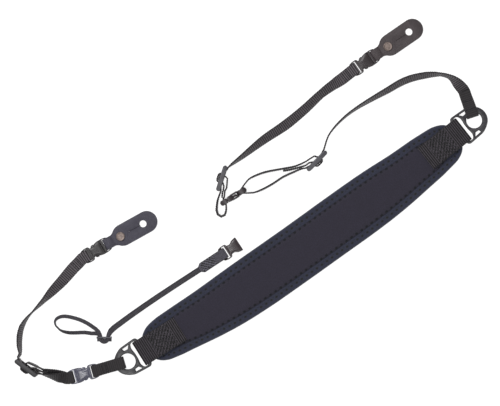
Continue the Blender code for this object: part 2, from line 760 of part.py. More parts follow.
def ring_wrap(tail):
    """A strap folded round the ring's rim: tail on top, fold in the round hole, leg below."""
    face = math.sqrt(RING_HOLE_RADIUS ** 2 - (STRAP_WIDTH / 2 + GAP) ** 2)
    turn = u_turn(-face, RING_THICK / 2, GAP + STRAP_THICK / 2)
    rows = [(-along, RING_MID_Z + across) for along, across in turn]
    low, high = STRAP_THICK / 2, rows[0][1]
    second = low + STRAP_THICK + LAYER_GAP
    ease = RING_RADIUS + 3 * (high - second)
    return [(tail, second), (ease, second), (RING_RADIUS, high)] + rows + [
        (RING_RADIUS, low), (ease, low)]


def female_wrap(low_first):
    """Upright rows round the female end bar, in the buckle's frame."""
    return bar_rows(FEMALE_SLOT, 1, low_first, STRAP_THICK)


def male_wrap(low_first, thick):
    """Upright rows round the male end bar, in the buckle's frame."""
    return bar_rows(MALE_BAR_FACE, -1, low_first, thick)


def bar_rows(face, sign, low_first, thick):
    """Rows round an end bar whose slot lies towards sign along X."""
    turn = u_turn(0.0, BAR_THICK / 2, GAP + thick / 2)
    flip = -1 if low_first else 1
    return [(face + sign * along, BUCKLE_MID_Z + flip * across) for along, across in turn]


def edge_bar_rows(face, sign, first_side):
    """Rows in the surface's plane round an end bar of a buckle on its edge."""
    turn = u_turn(0.0, BAR_THICK / 2, GAP + STRAP_THICK / 2)
    return [(face + sign * along, first_side * across) for along, across in turn]


def slot_crossing():
    """Rows in the surface's plane through a male half's slot, from side to side."""
    middle = MALE_BAR_FACE - SLOT_LENGTH / 2
    out = BUCKLE_THICK / 2
    return [(middle + GAP, out + GAP * 2), (middle, out * 0.4), (middle, -out * 0.4),
            (middle - GAP, -out - GAP * 2)]


def slider_outer(frame, side):
    """Main strap through a slider: over one end bar, round the middle, over the other."""
    bar_x = SLIDER_LENGTH / 2 - SLIDER_THICK / 2
    over = SLIDER_BAR_RADIUS + GAP + STRAP_THICK / 2
    around = GAP + STRAP_THICK * 1.5 + LAYER_GAP
    turn = u_turn(SLIDER_BAR_RADIUS, SLIDER_CENTRE_BAR / 2, around)
    dip = bar_x - SLIDER_BAR_RADIUS - STRAP_THICK * 0.8
    rows = [(bar_x + SLIDER_BAR_RADIUS, over + GAP), (bar_x, over), (dip, over * 0.62)]
    rows += [(across, -along) for along, across in turn]
    rows += [(-dip, over * 0.62), (-bar_x, over), (-bar_x - SLIDER_BAR_RADIUS, over + GAP)]
    return edge_keys(frame, [(x, side * y) for x, y in rows], EDGE_Z, STRAP_WIDTH)


def slider_inner(frame, side):
    """Returning strand round the slider's middle bar, ending beside itself as a tail."""
    over = SLIDER_BAR_RADIUS + GAP + STRAP_THICK / 2
    layer = STRAP_THICK + LAYER_GAP
    around = GAP + STRAP_THICK / 2
    reach = SLIDER_CENTRE_BAR / 2 + around
    turn = u_turn(SLIDER_BAR_RADIUS, SLIDER_CENTRE_BAR / 2, around)
    high = over + layer * 2.2
    rows = [(-SLIDER_LENGTH * 0.285, over + layer * 2.8), (-SLIDER_LENGTH * 0.10, high),
            (SLIDER_CENTRE_BAR * 0.45, over + layer * 1.5), (reach + GAP, over * 0.9),
            (reach, 0.0)]
    rows += [(across, -along) for along, across in turn]
    rows += [(-reach, 0.0), (-reach - GAP, over * 0.55), (-reach - layer, over + layer * 0.15),
             (-SLIDER_LENGTH * 0.25, over + layer * 0.95),
             (-SLIDER_LENGTH * 0.42, over + layer * 1.45)]
    return edge_keys(frame, [(x, side * y) for x, y in rows], EDGE_Z, STRAP_WIDTH)


# Straps

def strap_right():
    """Ring to slider to middle buckle and back to the slider, one piece of webbing."""
    start = place(RING_FRAMES[0].translation, RIGHT_STRAP_START)
    keys = upright_keys(start, ring_wrap(RIGHT_SEWN) + [(RIGHT_SEWN, STRAP_THICK / 2)],
                        STRAP_WIDTH)
    run = place(RING_FRAMES[0].translation, RIGHT_STRAP_HEADING)
    keys += run_keys(run, RIGHT_STRAP_REACH, RIGHT_RUN, STRAP_WIDTH, STRAP_THICK)
    keys += slider_outer(SLIDER_RIGHT, 1)
    loop = place(SLIDER_RIGHT.translation, RIGHT_LOOP_HEADING)
    keys += run_keys(loop, RIGHT_LOOP_REACH, RIGHT_OUTER, STRAP_WIDTH, STRAP_THICK)
    bar = edge_bar_rows(FEMALE_SLOT, 1, 1)
    keys += edge_keys(BUCKLE_MIDDLE, bar, EDGE_Z, STRAP_WIDTH)
    keys += run_keys(loop, RIGHT_LOOP_REACH, RIGHT_INNER, STRAP_WIDTH, STRAP_THICK)
    keys += slider_inner(SLIDER_RIGHT, 1)
    keys += run_keys(loop, RIGHT_LOOP_REACH, RIGHT_TAIL, STRAP_WIDTH, STRAP_THICK)
    part("strap_right", strip_mesh(keys, STRAP_THICK), WEBBING)


def strap_upper():
    """Right end buckle to the middle slider, through the middle buckle and back."""
    keys = sewn_end(BUCKLE_RIGHT, UPPER_SEWN, UPPER_SEWN_TURN)
    run = place(SLIDER_MIDDLE.translation, UPPER_STRAP_HEADING)
    keys += run_keys(run, UPPER_STRAP_REACH, UPPER_RUN[::-1], STRAP_WIDTH, STRAP_THICK)
    keys += slider_outer(SLIDER_MIDDLE, -1)
    bar_centre = point_on(BUCKLE_MIDDLE, MALE_BAR)
    loop = place(bar_centre, MIDDLE_LOOP_HEADING)
    keys += run_keys(loop, MIDDLE_LOOP_REACH, MIDDLE_OUTER, STRAP_WIDTH, STRAP_THICK)
    keys += edge_keys(BUCKLE_MIDDLE, slot_crossing(), EDGE_Z, STRAP_WIDTH)
    keys += run_keys(loop, MIDDLE_LOOP_REACH, MIDDLE_INNER, STRAP_WIDTH, STRAP_THICK)
    keys += slider_inner(SLIDER_MIDDLE, -1)
    keys += run_keys(loop, MIDDLE_LOOP_REACH, MIDDLE_TAIL, STRAP_WIDTH, STRAP_THICK)
    part("strap_upper", strip_mesh(keys, STRAP_THICK), WEBBING)


def strap_left():
    """Left end buckle to the left slider, round the ring buckle and back."""
    keys = sewn_end(BUCKLE_LEFT, LEFT_SEWN, LEFT_SEWN_TURN)
    run = place(SLIDER_LEFT.translation, LEFT_STRAP_HEADING)
    keys += run_keys(run, LEFT_STRAP_REACH, LEFT_RUN[::-1], STRAP_WIDTH, STRAP_THICK)
    keys += slider_outer(SLIDER_LEFT, -1)
    loop = place(point_on(BUCKLE_RING, MALE_BAR), LEFT_LOOP_HEADING)
    keys += run_keys(loop, LEFT_LOOP_REACH, LEFT_OUTER, STRAP_WIDTH, STRAP_THICK)
    lead = BUCKLE_LENGTH + GAP * 2
    turn = male_wrap(False, STRAP_THICK)
    rows = [(lead, turn[0][1])] + turn + [(lead + END_BAR * 0.5, turn[-1][1])]
    keys += upright_keys(BUCKLE_RING, rows, STRAP_WIDTH)
    keys += run_keys(loop, LEFT_LOOP_REACH, LEFT_INNER, STRAP_WIDTH, STRAP_THICK)
    keys += slider_inner(SLIDER_LEFT, -1)
    keys += run_keys(loop, LEFT_LOOP_REACH, LEFT_TAIL, STRAP_WIDTH, STRAP_THICK)
    part("strap_left", strip_mesh(keys, STRAP_THICK), WEBBING)


def sewn_end(buckle, length, turned):
    """A strap's end folded round a female end bar: tail on top, strap leaving below."""
    turn = female_wrap(False)
    low = STRAP_THICK / 2
    second = low + STRAP_THICK + LAYER_GAP
    clear = -END_BAR_SETBACK - STRAP_THICK / 2
    away = buckle @ Matrix.Rotation(math.radians(turned), 4, "Z")
    tail = upright_keys(away, [(-length, second), (-length * 0.6, second)], STRAP_WIDTH)
    fold = upright_keys(buckle, [(clear, turn[0][1])] + turn + [(clear, turn[-1][1])],
                        STRAP_WIDTH)
    leg = upright_keys(away, [(-length * 0.6, low), (-length, low)], STRAP_WIDTH)
    return tail + fold + leg


def ring_strap():
    """Short doubled strap between the left ring and its buckle, its ends butted on top."""
    frame = place(RING_FRAMES[1].translation, RING_STRAP_HEADING)
    ring_rows = ring_wrap(0.0)[2:-1]
    high, low = ring_rows[0][1], ring_rows[-1][1]
    reach = RING_STRAP_REACH - FEMALE_SLOT - STRAP_THICK
    butt = RING_RADIUS + (reach - RING_RADIUS) * 0.72
    dip = (RING_RADIUS + butt) / 2
    wrap = female_wrap(True)
    saddle = (low + STRAP_THICK + LAYER_GAP + high) / 2
    rows = [(butt, saddle), (dip, saddle)] + ring_rows
    keys = upright_keys(frame, rows, STRAP_WIDTH)
    clear = -END_BAR_SETBACK - STRAP_THICK / 2
    buckle_rows = [(clear, low)] + wrap + [(clear, wrap[-1][1])]
    keys += upright_keys(BUCKLE_RING, buckle_rows, STRAP_WIDTH)
    keys += upright_keys(frame, [(butt + 2 * GAP, saddle)], STRAP_WIDTH)
    part("strap_ring", strip_mesh(keys, STRAP_THICK), WEBBING)


# End tabs and rivets

def end_tab(name, frame):
    """Leather tab: neck folded round the buckle's bar, wide body with a button hole."""
    low = LEATHER_THICK / 2
    raised = RIVET_BACK_THICK + GAP + LEATHER_THICK / 2
    second = raised + LEATHER_THICK + LAYER_GAP
    turn = [(along - MALE_BAR_FACE, z) for along, z in male_wrap(True, LEATHER_THICK)]
    rivet = RIVET_TO_SLOT
    tail = rivet + RIVET_CAP * 0.6
    neck_half = NECK_WIDTH / END_TAB_WIDTH
    rows = [(tail, raised, neck_half), (rivet - RIVET_CAP * 0.55, raised, neck_half),
            (END_BAR * 1.4, low, neck_half), (END_BAR, low, neck_half)]
    rows += [(along, z, neck_half) for along, z in turn]
    rows += [(END_BAR * 1.2, turn[-1][1], neck_half),
             (rivet - RIVET_CAP, second + GAP, neck_half)]
    shoulder = rivet - END_TAB_LENGTH * 0.15
    for along, half in SHOULDER:
        rows.append((shoulder + along * END_TAB_LENGTH, second, half))
    radius = END_TAB_WIDTH / 2
    centre = shoulder + END_TAB_LENGTH - radius
    rows.append((centre - radius, second - GAP, 1.0))
    for index in range(9):
        angle = math.radians(index * 10.5)
        sink = second - (second - low) * math.sin(angle) * 0.3 - GAP * 2
        rows.append((centre + radius * math.sin(angle), sink, math.cos(angle)))
    side = frame.to_3x3() @ Vector((0.0, 1.0, 0.0))
    turned = frame.to_3x3()
    base = Vector((frame.translation.x, frame.translation.y, 0.0))
    keys = [Key(base + turned @ Vector((x, 0.0, z)), side, half * END_TAB_WIDTH)
            for x, z, half in rows]
    strip = strip_mesh(keys, LEATHER_THICK, RUN_STEP)
    hole_x = rivet + RIVET_TO_HOLE
    top = BUCKLE_THICK * 2
    shank = moved(rod_mesh(RIVET_SHANK / 2 + GAP, -top, top, 16), x=rivet)
    button = moved(rod_mesh(BUTTON_HOLE / 2, -top, top, 24), x=hole_x)
    slit = box_mesh((hole_x - BUTTON_HOLE / 2 - SLIT_LENGTH, -SLIT_WIDTH / 2, -top),
                    (hole_x, SLIT_WIDTH / 2, top))
    cuts = []
    for mesh in (shank, button, slit):
        mesh.transform(frame)
        cuts.append(("DIFFERENCE", mesh))
    part(name, combine(strip, cuts), LEATHER)
    return second


def rivet_mesh(second):
    """Turned rivet: domed cap, shank and flat back."""
    cap, shank, back = RIVET_CAP / 2, RIVET_SHANK / 2, RIVET_CAP * 0.42
    top = second + LEATHER_THICK / 2 + GAP
    profile = ((0.0, top + RIVET_CAP_THICK), (cap * 0.72, top + RIVET_CAP_THICK * 0.92),
               (cap * 0.94, top + RIVET_CAP_THICK * 0.55), (cap, top + GAP), (cap * 0.97, top),
               (shank, top), (shank, RIVET_BACK_THICK), (back, RIVET_BACK_THICK), (back, 0.0),
               (0.0, 0.0))
    shape = bmesh.new()
    verts = [shape.verts.new((radius, 0.0, z)) for radius, z in profile]
    for first, second_vert in zip(verts, verts[1:]):
        shape.edges.new((first, second_vert))
    mesh = bpy.data.meshes.new("rivet")
    shape.to_mesh(mesh)
    shape.free()
    holder = bpy.data.objects.new("rivet", mesh)
    CUTTERS.objects.link(holder)
    turn = holder.modifiers.new("turn", "SCREW")
    turn.steps = 18
    turn.render_steps = 18
    turn.use_merge_vertices = True
    turn.merge_threshold = 0.00001
    bpy.context.view_layer.update()
    return baked(holder)


# Loose connector

def connector():
    """Patch with half a buckle, two strands of cord, a keeper and an open loop."""
    patch_top = BUCKLE_MID_Z + BAR_THICK / 2 + GAP + STRAP_THICK / 2
    patch_low = STRAP_THICK / 2
    first_z = patch_low + STRAP_THICK / 2 + LAYER_GAP + CORD_THICK / 2
    lid = max(first_z + HIGH_CORD + CORD_THICK / 2 + LAYER_GAP + STRAP_THICK / 2, patch_low)
    wrap = [(along + PATCH_LENGTH, z) for along, z in female_wrap(True)]
    waist = PATCH_LENGTH * 0.62
    rows = [(0.0, patch_low), (PATCH_LENGTH * 0.12, patch_low), (PATCH_LENGTH, patch_low)]
    rows += wrap + [(PATCH_LENGTH, patch_top), (waist, patch_top - GAP * 3),
                    (CORD_LAP, lid), (PATCH_LENGTH * 0.12, lid), (0.0, lid)]
    keys = upright_keys(CONNECTOR, rows, PATCH_WIDTH)
    for index in (0, -1):
        keys[index] = keys[index]._replace(width=PATCH_WIDTH * 0.55)
    part("connector_patch", strip_mesh(keys, STRAP_THICK, PATCH_LENGTH * 0.3), PATCH_CLOTH)
    part("connector_buckle", FEMALE_MESH, PLASTIC, buckle_frame(
        place(point_on(CONNECTOR, PATCH_LENGTH), CONNECTOR_HEADING), BUCKLE_MID_Z))
    down = place(CONNECTOR.translation, CORD_HEADING)
    loop = place(KEEPER.translation, CORD_LOOP_HEADING)
    keys = cord_strand(down, first_z, 0)
    keys += run_keys(loop, CORD_LOOP_REACH, CORD_LOOP, CORD_WIDTH, CORD_THICK)
    keys += cord_strand(down, first_z, 1)[::-1]
    part("connector_cord", strip_mesh(keys, CORD_THICK), CORD_WEBBING)
    part("connector_keeper", keeper_mesh(), SLIDER_PLASTIC, KEEPER)


def cord_strand(down, first_z, level):
    """One strand of cord from inside the patch down and round through the keeper."""
    lift = level * HIGH_CORD
    stagger = CORD_STAGGER if level else -CORD_STAGGER
    keys = [cord_key(CONNECTOR, CORD_LAP, -stagger, first_z + lift),
            cord_key(CONNECTOR, 0.0, -stagger, first_z + lift)]
    for along, across in CORD_RUN:
        keys.append(cord_key(down, along * CORD_REACH, across * CORD_REACH + stagger,
                             CORD_THICK / 2 + lift))
    over = KEEPER_BAR_THICK + GAP + CORD_THICK / 2
    for x, y in arc((0.0, KEEPER_BEND * 0.33), KEEPER_BEND, 12, -192, 8):
        keys.append(cord_key(KEEPER, x, y, over + lift))
    return keys


def cord_key(frame, along, across, z):
    """A flat key of the cord, its side found later from its path."""
    return Key(point_on(frame, along, across) + UP * z, 0.0, CORD_WIDTH)


# Assembly

def buckle_frame(frame, z):
    """Lift a surface frame to a buckle's middle height."""
    return Matrix.Translation((0.0, 0.0, z)) @ frame


def on_edge(frame, z):
    """A buckle's frame turned so that its width stands upright."""
    return buckle_frame(frame, z) @ Matrix.Rotation(math.radians(90), 4, "X")


def hardware():
    """Buckles, sliders and rings in their places."""
    ring = ring_mesh()
    part("ring_right", ring, RING_PLASTIC, RING_FRAMES[0])
    part("ring_left", ring, RING_PLASTIC, RING_FRAMES[1])
    flat = {"ring_buckle": BUCKLE_RING, "left_buckle": BUCKLE_LEFT,
            "right_buckle": BUCKLE_RIGHT}
    for name, frame in flat.items():
        part(name + "_female", FEMALE_MESH, PLASTIC, buckle_frame(frame, BUCKLE_MID_Z))
        part(name + "_male", MALE_MESH, PLASTIC, buckle_frame(frame, BUCKLE_MID_Z))
    part("middle_buckle_female", FEMALE_MESH, PLASTIC, on_edge(BUCKLE_MIDDLE, EDGE_Z))
    part("middle_buckle_male", MALE_MESH, PLASTIC, on_edge(BUCKLE_MIDDLE, EDGE_Z))
    slider = slider_mesh()
    for name, frame in (("slider_right", SLIDER_RIGHT), ("slider_middle", SLIDER_MIDDLE),
                        ("slider_left", SLIDER_LEFT)):
        part(name, slider, SLIDER_PLASTIC, buckle_frame(frame, EDGE_Z))


def end_tabs():
    """Both leather end tabs with their rivets."""
    for side, buckle, heading in (("right", BUCKLE_RIGHT, RIGHT_END_TAB_HEADING),
                                  ("left", BUCKLE_LEFT, LEFT_END_TAB_HEADING)):
        frame = place(point_on(buckle, MALE_BAR_FACE), heading)
        second = end_tab("end_tab_" + side, frame)
        at = place(point_on(frame, RIVET_TO_SLOT), heading)
        part("rivet_" + side, rivet_mesh(second), RIVET_METAL, at)


def centre_on_surface():
    """Move the whole model so that the middle of its footprint is the origin."""
    bpy.context.view_layer.update()
    view = bpy.context.evaluated_depsgraph_get()
    corners = []
    for item in PARTS.objects:
        if item.type == "MESH":
            solid = item.evaluated_get(view)
            corners += [item.matrix_world @ vertex.co for vertex in solid.data.vertices]
    middle = [(min(c[axis] for c in corners) + max(c[axis] for c in corners)) / 2
              for axis in (0, 1)]
    lowest = min(corner.z for corner in corners)
    ROOT.location = (-middle[0], -middle[1], -lowest)


clear_scene()
PARTS = collection("camera_neck_strap")
CUTTERS = collection("cutters")
ROOT = bpy.data.objects.new("layout", None)
PARTS.objects.link(ROOT)

NEOPRENE = material("neoprene", (0.045, 0.051, 0.077), 0.85)
PANEL_CLOTH = material("panel_cloth", (0.041, 0.037, 0.054), 0.80)
TAB_WEBBING = material("tab_webbing", (0.038, 0.033, 0.034), 0.75)
WEBBING = material("webbing", (0.046, 0.040, 0.044), 0.75)
CORD_WEBBING = material("cord_webbing", (0.050, 0.047, 0.055), 0.75)
PATCH_CLOTH = material("patch_cloth", (0.085, 0.080, 0.092), 0.75)
RING_PLASTIC = material("ring_plastic", (0.045, 0.042, 0.048), 0.40)
PLASTIC = material("buckle_plastic", (0.055, 0.050, 0.052), 0.38)
SLIDER_PLASTIC = material("slider_plastic", (0.115, 0.112, 0.122), 0.45)
LEATHER = material("leather", (0.076, 0.065, 0.069), 0.62)
RIVET_METAL = material("rivet_metal", (0.42, 0.34, 0.30), 0.35, 1.0)

# The chain of places, piece after piece from the pad outwards
PAD = place((0.0, 0.0), PAD_HEADING)
RING_FRAMES = tab_frames()
SLIDER_RIGHT = place(point_on(place(RING_FRAMES[0].translation, RIGHT_STRAP_HEADING),
                              RIGHT_STRAP_REACH), RIGHT_SLIDER_HEADING)
BUCKLE_MIDDLE = place(point_on(place(SLIDER_RIGHT.translation, RIGHT_LOOP_HEADING),
                               RIGHT_LOOP_REACH), MIDDLE_BUCKLE_HEADING)
BUCKLE_MIDDLE = place(point_on(BUCKLE_MIDDLE, -FEMALE_BAR), MIDDLE_BUCKLE_HEADING)
SLIDER_MIDDLE = place(point_on(place(point_on(BUCKLE_MIDDLE, MALE_BAR), MIDDLE_LOOP_HEADING),
                               MIDDLE_LOOP_REACH), MIDDLE_SLIDER_HEADING)
BUCKLE_RIGHT = place(point_on(place(SLIDER_MIDDLE.translation, UPPER_STRAP_HEADING),
                              UPPER_STRAP_REACH), RIGHT_BUCKLE_HEADING)
BUCKLE_RING = place(point_on(place(RING_FRAMES[1].translation, RING_STRAP_HEADING),
                             RING_STRAP_REACH - FEMALE_SLOT - STRAP_THICK),
                    RING_BUCKLE_HEADING)
SLIDER_LEFT = place(point_on(place(point_on(BUCKLE_RING, MALE_BAR), LEFT_LOOP_HEADING),
                             LEFT_LOOP_REACH), LEFT_SLIDER_HEADING)
BUCKLE_LEFT = place(point_on(place(SLIDER_LEFT.translation, LEFT_STRAP_HEADING),
                             LEFT_STRAP_REACH), LEFT_BUCKLE_HEADING)
CONNECTOR = place(point_on(PAD, CONNECTOR_FROM_END - PAD_LENGTH / 2,
                           PAD_TOP_EDGE * PAD_WIDTH + CONNECTOR_CLEARANCE + PATCH_WIDTH / 2),
                  CONNECTOR_HEADING)
KEEPER = place(point_on(place(CONNECTOR.translation, CORD_HEADING), CORD_REACH),
               KEEPER_HEADING)

FEMALE_MESH = female_mesh()
MALE_MESH = male_mesh()
build_pad()
build_pad_tab("pad_tab_right", RING_FRAMES[0])
build_pad_tab("pad_tab_left", RING_FRAMES[1])
hardware()
strap_right()
strap_upper()
ring_strap()
strap_left()
end_tabs()
connector()
centre_on_surface()
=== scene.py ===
"""Camera neck strap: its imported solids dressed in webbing, neoprene, leather and plastic."""

import math
from collections import namedtuple
from itertools import permutations

import bmesh
import bpy
import numpy as np
from bpy.props import FloatProperty, FloatVectorProperty, PointerProperty
from mathutils import Matrix, Vector
from mathutils.kdtree import KDTree


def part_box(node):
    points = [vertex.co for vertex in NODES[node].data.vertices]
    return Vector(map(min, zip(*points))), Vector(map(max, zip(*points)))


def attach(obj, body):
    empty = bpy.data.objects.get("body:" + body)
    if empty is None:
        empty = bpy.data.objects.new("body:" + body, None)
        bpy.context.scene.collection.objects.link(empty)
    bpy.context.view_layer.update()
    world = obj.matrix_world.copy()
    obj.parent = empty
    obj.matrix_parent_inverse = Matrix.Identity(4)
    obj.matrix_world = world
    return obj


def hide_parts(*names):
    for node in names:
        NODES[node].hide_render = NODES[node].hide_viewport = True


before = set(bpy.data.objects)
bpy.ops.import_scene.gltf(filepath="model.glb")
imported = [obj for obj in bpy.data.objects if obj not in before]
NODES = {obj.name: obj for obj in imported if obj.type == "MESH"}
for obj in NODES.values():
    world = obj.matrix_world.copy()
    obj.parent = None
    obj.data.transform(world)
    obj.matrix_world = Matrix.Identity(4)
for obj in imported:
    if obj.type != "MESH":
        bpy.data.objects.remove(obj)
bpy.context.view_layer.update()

bl_info = {
    "name": "Camera Neck Strap",
    "version": (1, 0, 0),
    "blender": (4, 5, 0),
    "location": "3D View > Sidebar > Neck Strap",
    "description": "Dresses a camera neck strap in webbing, neoprene, leather and plastic",
    "category": "Object",
}

MM = 0.001
BODY = "root"
UP = Vector((0.0, 0.0, 1.0))
CLOTH_UV = "cloth"
# Corners nearer than this are one, and so are faces whose tilt differs by less
WELD = 0.002 * MM
FLAT = math.radians(0.5)
# A strip is read at stations no further apart, each gap then curved in so many parts
LONGEST_GAP = 2.5 * MM
DENSE_PARTS = 6
# Sewn lattices of the pad's tabs and the patch, and the share of the width they take up
LATTICE = 4.0 * MM
PATCH_LATTICE = 3.3 * MM
SEWN_SHARE = 0.88
# Stretch of each tab and of the patch that is sewn down, from its upper end
TAB_SEWN = (9.0 * MM, 33.0 * MM)
PATCH_SEWN = (2.5 * MM, 18.5 * MM)
# The twill of the patch, drawn coarser than its 0.5 mm so that it shows
TWILL_PITCH = 1.1 * MM
# How far the ribs of the finer bands stand proud
TAB_RIB = 0.16 * MM
CORD_RIB = 0.07 * MM
TWILL_RIB = 0.03 * MM
# Length and width of a stitch, drawn thicker than its thread so that it shows
TAB_STITCH = (1.7 * MM, 1.2 * MM)
TACK_STITCH = (2.6 * MM, 0.6 * MM)
PATCH_STITCH = (1.5 * MM, 0.9 * MM)
# A bar tack: how many stitches, and the share of the strap's width that they take up
TACK_STITCHES = 9
TACK_SHARE = 0.8
# Rows of the pad's and of the panel's mesh, from edge to edge
PAD_ROWS = 62
PANEL_ROWS = 44
# How far the outer row of stitches sinks, how wide a stitch's dent is and how far in from its
# edge the panel reaches its full height
ROW_GROOVE = 0.16 * MM
DENT_WIDTH = 1.0 * MM
PANEL_SHOULDER = 4.2 * MM
# The pad's rim: its outline is measured at so many places and walked in such steps
RIM_SAMPLES = 3000
RIM_STEP = 0.5 * MM
TINY = 1e-9

# A section of a strip: its centre, and half its width and half its thickness as vectors
Station = namedtuple("Station", "centre side normal")


def linear(code):
    """Linear RGB of an sRGB hex colour."""
    channels = [int(code[index:index + 2], 16) / 255 for index in (1, 3, 5)]
    return tuple(value / 12.92 if value <= 0.04045 else ((value + 0.055) / 1.055) ** 2.4
                 for value in channels)


def size(name, description, default):
    """A length that a user may change."""
    return FloatProperty(name=name, description=description, default=default, min=0.0,
                         unit="LENGTH", precision=5)


def colour(name, description, code):
    """A colour that a user may change."""
    return FloatVectorProperty(name=name, description=description, default=linear(code),
                               min=0.0, max=1.0, size=3, subtype="COLOR")


# Settings

class NECKSTRAP_PG_pad(bpy.types.PropertyGroup):
    """Neoprene pad with its cloth panel."""
    outer_row: size("Outer Row", "Pad's edge to the outer row of stitches", 4.9 * MM)
    panel_row: size("Panel Row", "Panel's edge to the row that holds it", 1.1 * MM)
    stitch_pitch: size("Stitch Pitch", "Spacing of the stitches along both rows", 6.2 * MM)
    stitch_depth: size("Stitch Depth", "How deep a stitch pulls the cloth in", 0.7 * MM)
    edge_radius: size("Edge Radius", "Rounding of the pad's rim", 2.3 * MM)
    cell: size("Mesh Cell", "Spacing of the pad's mesh", 1.05 * MM)
    knit: colour("Knit", "Face of the neoprene", "#23263A")
    knit_shade: colour("Knit Shade", "Darker loops of the knit", "#171A29")
    panel: colour("Panel", "Cloth of the raised panel", "#292634")
    panel_shade: colour("Panel Shade", "Gaps in the panel's weave", "#1E1B26")


class NECKSTRAP_PG_webbing(bpy.types.PropertyGroup):
    """Straps, tabs, cord and patch."""
    rib_pitch: size("Rib Pitch", "Cross ribs of the straps", 2.1 * MM)
    rib_height: size("Rib Height", "How far a strap's rib stands proud", 0.13 * MM)
    tab_rib_pitch: size("Tab Rib Pitch", "Cross ribs of the pad's tabs", 2.1 * MM)
    cord_rib_pitch: size("Cord Rib Pitch", "Cross ribs of the connector's cord", 1.3 * MM)
    yarn_pitch: size("Yarn Pitch", "Warp yarns side by side", 0.9 * MM)
    strap: colour("Strap", "Crowns of the straps' ribs", "#5D575C")
    # Each shade colour is painted shade, laid in the gaps between the ribs
    strap_shade: colour("Strap Shade", "Gaps between the ribs", "#1D1A1C")
    tab: colour("Tab", "Crowns of the tabs' ribs", "#3D383F")
    tab_shade: colour("Tab Shade", "Gaps in the tabs' weave", "#040303")
    cord: colour("Cord", "Connector's cord", "#45434B")
    patch: colour("Patch", "Connector's twill patch", "#5A5863")
    thread: colour("Thread", "Sewing thread", "#04050D")


class NECKSTRAP_PG_plastic(bpy.types.PropertyGroup):
    """Moulded rings, buckles, sliders and keeper."""
    rounding: size("Rounding", "Radius on the moulded edges", 0.45 * MM)
    ring_right: colour("Right Ring", "The ring at the pad's right end", "#252328")
    # Both rings are the same plastic; the left ring is darkened as painted shade
    ring_left: colour("Left Ring", "The ring at the pad's left end", "#1A191E")
    buckle: colour("Buckle", "Moulded buckles", "#231B1E")
    # The buckle by the left end tab is the same plastic as the others, darkened as painted shade
    buckle_left_shaded: colour("Left Buckle", "The buckle by the left end tab", "#171315")
    buckle_connector: colour("Connector Buckle", "The connector's buckle", "#292023")
    # The buckle by the left ring is the same dark plastic; its paler colour is a painted
    # reflection
    buckle_painted_sheen: colour("Pale Buckle", "The buckle by the left ring", "#444452")
    slider: colour("Slider", "Sliders and keeper", "#35343A")
    # The slider by the left buckle is the same plastic as the others, darkened as painted shade
    slider_left: colour("Left Slider", "The slider by the left buckle", "#1E1D21")


class NECKSTRAP_PG_leather(bpy.types.PropertyGroup):
    """Leather end tabs."""
    rounding: size("Rounding", "Burnished edge of the leather", 0.18 * MM)
    grain: size("Grain", "Width of a grain cell", 0.9 * MM)
    right: colour("Right Tab", "Warm dark leather", "#413A3C")
    left: colour("Left Tab", "Cool dark leather", "#3E3C47")


class NECKSTRAP_PG_metal(bpy.types.PropertyGroup):
    """Rivets of the end tabs."""
    rim: size("Rim", "Width of the rivet's turned rim", 0.55 * MM)
    plating: colour("Plating", "Worn copper-nickel plating", "#7D716C")


class NECKSTRAP_PG_stage(bpy.types.PropertyGroup):
    """Floor, lights and camera."""
    floor: colour("Floor", "Opal acrylic of the light table", "#7C7C7C")
    glow: FloatProperty(name="Glow", description="How brightly the table is lit from below",
                        default=0.93, min=0.0)
    photo_width: size("Photo Width", "What the picture spans from side to side", 500 * MM)
    centre_x: FloatProperty(name="Centre X", description="Picture's centre from the middle",
                            default=-1.68 * MM, unit="LENGTH", precision=5)
    centre_y: FloatProperty(name="Centre Y", description="Picture's centre from the middle",
                            default=-1.42 * MM, unit="LENGTH", precision=5)
    lens: FloatProperty(name="Lens", description="Focal length in millimetres",
                        default=150.0, min=20.0)


class NECKSTRAP_PG_settings(bpy.types.PropertyGroup):
    """All of the strap's settings."""
    pad: PointerProperty(type=NECKSTRAP_PG_pad)
    webbing: PointerProperty(type=NECKSTRAP_PG_webbing)
    plastic: PointerProperty(type=NECKSTRAP_PG_plastic)
    leather: PointerProperty(type=NECKSTRAP_PG_leather)
    metal: PointerProperty(type=NECKSTRAP_PG_metal)
    stage: PointerProperty(type=NECKSTRAP_PG_stage)


# Shader nodes

SOCKETS = {"roughness": "Roughness", "metallic": "Metallic", "ior": "IOR",
           "specular": "Specular IOR Level", "sheen": "Sheen Weight",
           "sheen_roughness": "Sheen Roughness"}


def new_material(name, **constants):
    """A Principled material, and its sockets that are the same all over set."""
    finish = bpy.data.materials.new(name)
    finish.use_nodes = True
    shader = finish.node_tree.nodes["Principled BSDF"]
    for socket, value in constants.items():
        shader.inputs[SOCKETS[socket]].default_value = value
    return finish, finish.node_tree, shader


def add(tree, kind, inputs=None, **settings):
    """Add a shader node, set its properties, and set or link its inputs."""
    node = tree.nodes.new("ShaderNode" + kind)
    for name, value in settings.items():
        setattr(node, name, value)
    for name, value in (inputs or {}).items():
        if isinstance(value, bpy.types.NodeSocket):
            tree.links.new(value, node.inputs[name])
        else:
            node.inputs[name].default_value = value
    return node


def calc(tree, operation, first, second=0.0, third=0.0):
    """The result of one sum on up to three values."""
    return add(tree, "Math", {0: first, 1: second, 2: third}, operation=operation).outputs[0]


def sine(tree, along, pitch, shift=0.0):
    """A wave from -1 to 1 that repeats at each pitch."""
    return calc(tree, "SINE", calc(tree, "MULTIPLY_ADD", along, 2 * math.pi / pitch, shift))


def noise(tree, where, grain, detail=3.0):
    """Soft noise whose blobs are about one grain across."""
    return add(tree, "TexNoise", {"Vector": where, "Scale": 1.0 / grain, "Detail": detail,
                                  "Roughness": 0.55}).outputs["Fac"]


def spread(tree, value, low, high, to_low=0.0, to_high=1.0):
    """Stretch a value from one range to another, smoothly at both ends."""
    return add(tree, "MapRange", {"Value": value, "From Min": low, "From Max": high,
                                  "To Min": to_low, "To Max": to_high},
               interpolation_type="SMOOTHSTEP").outputs["Result"]


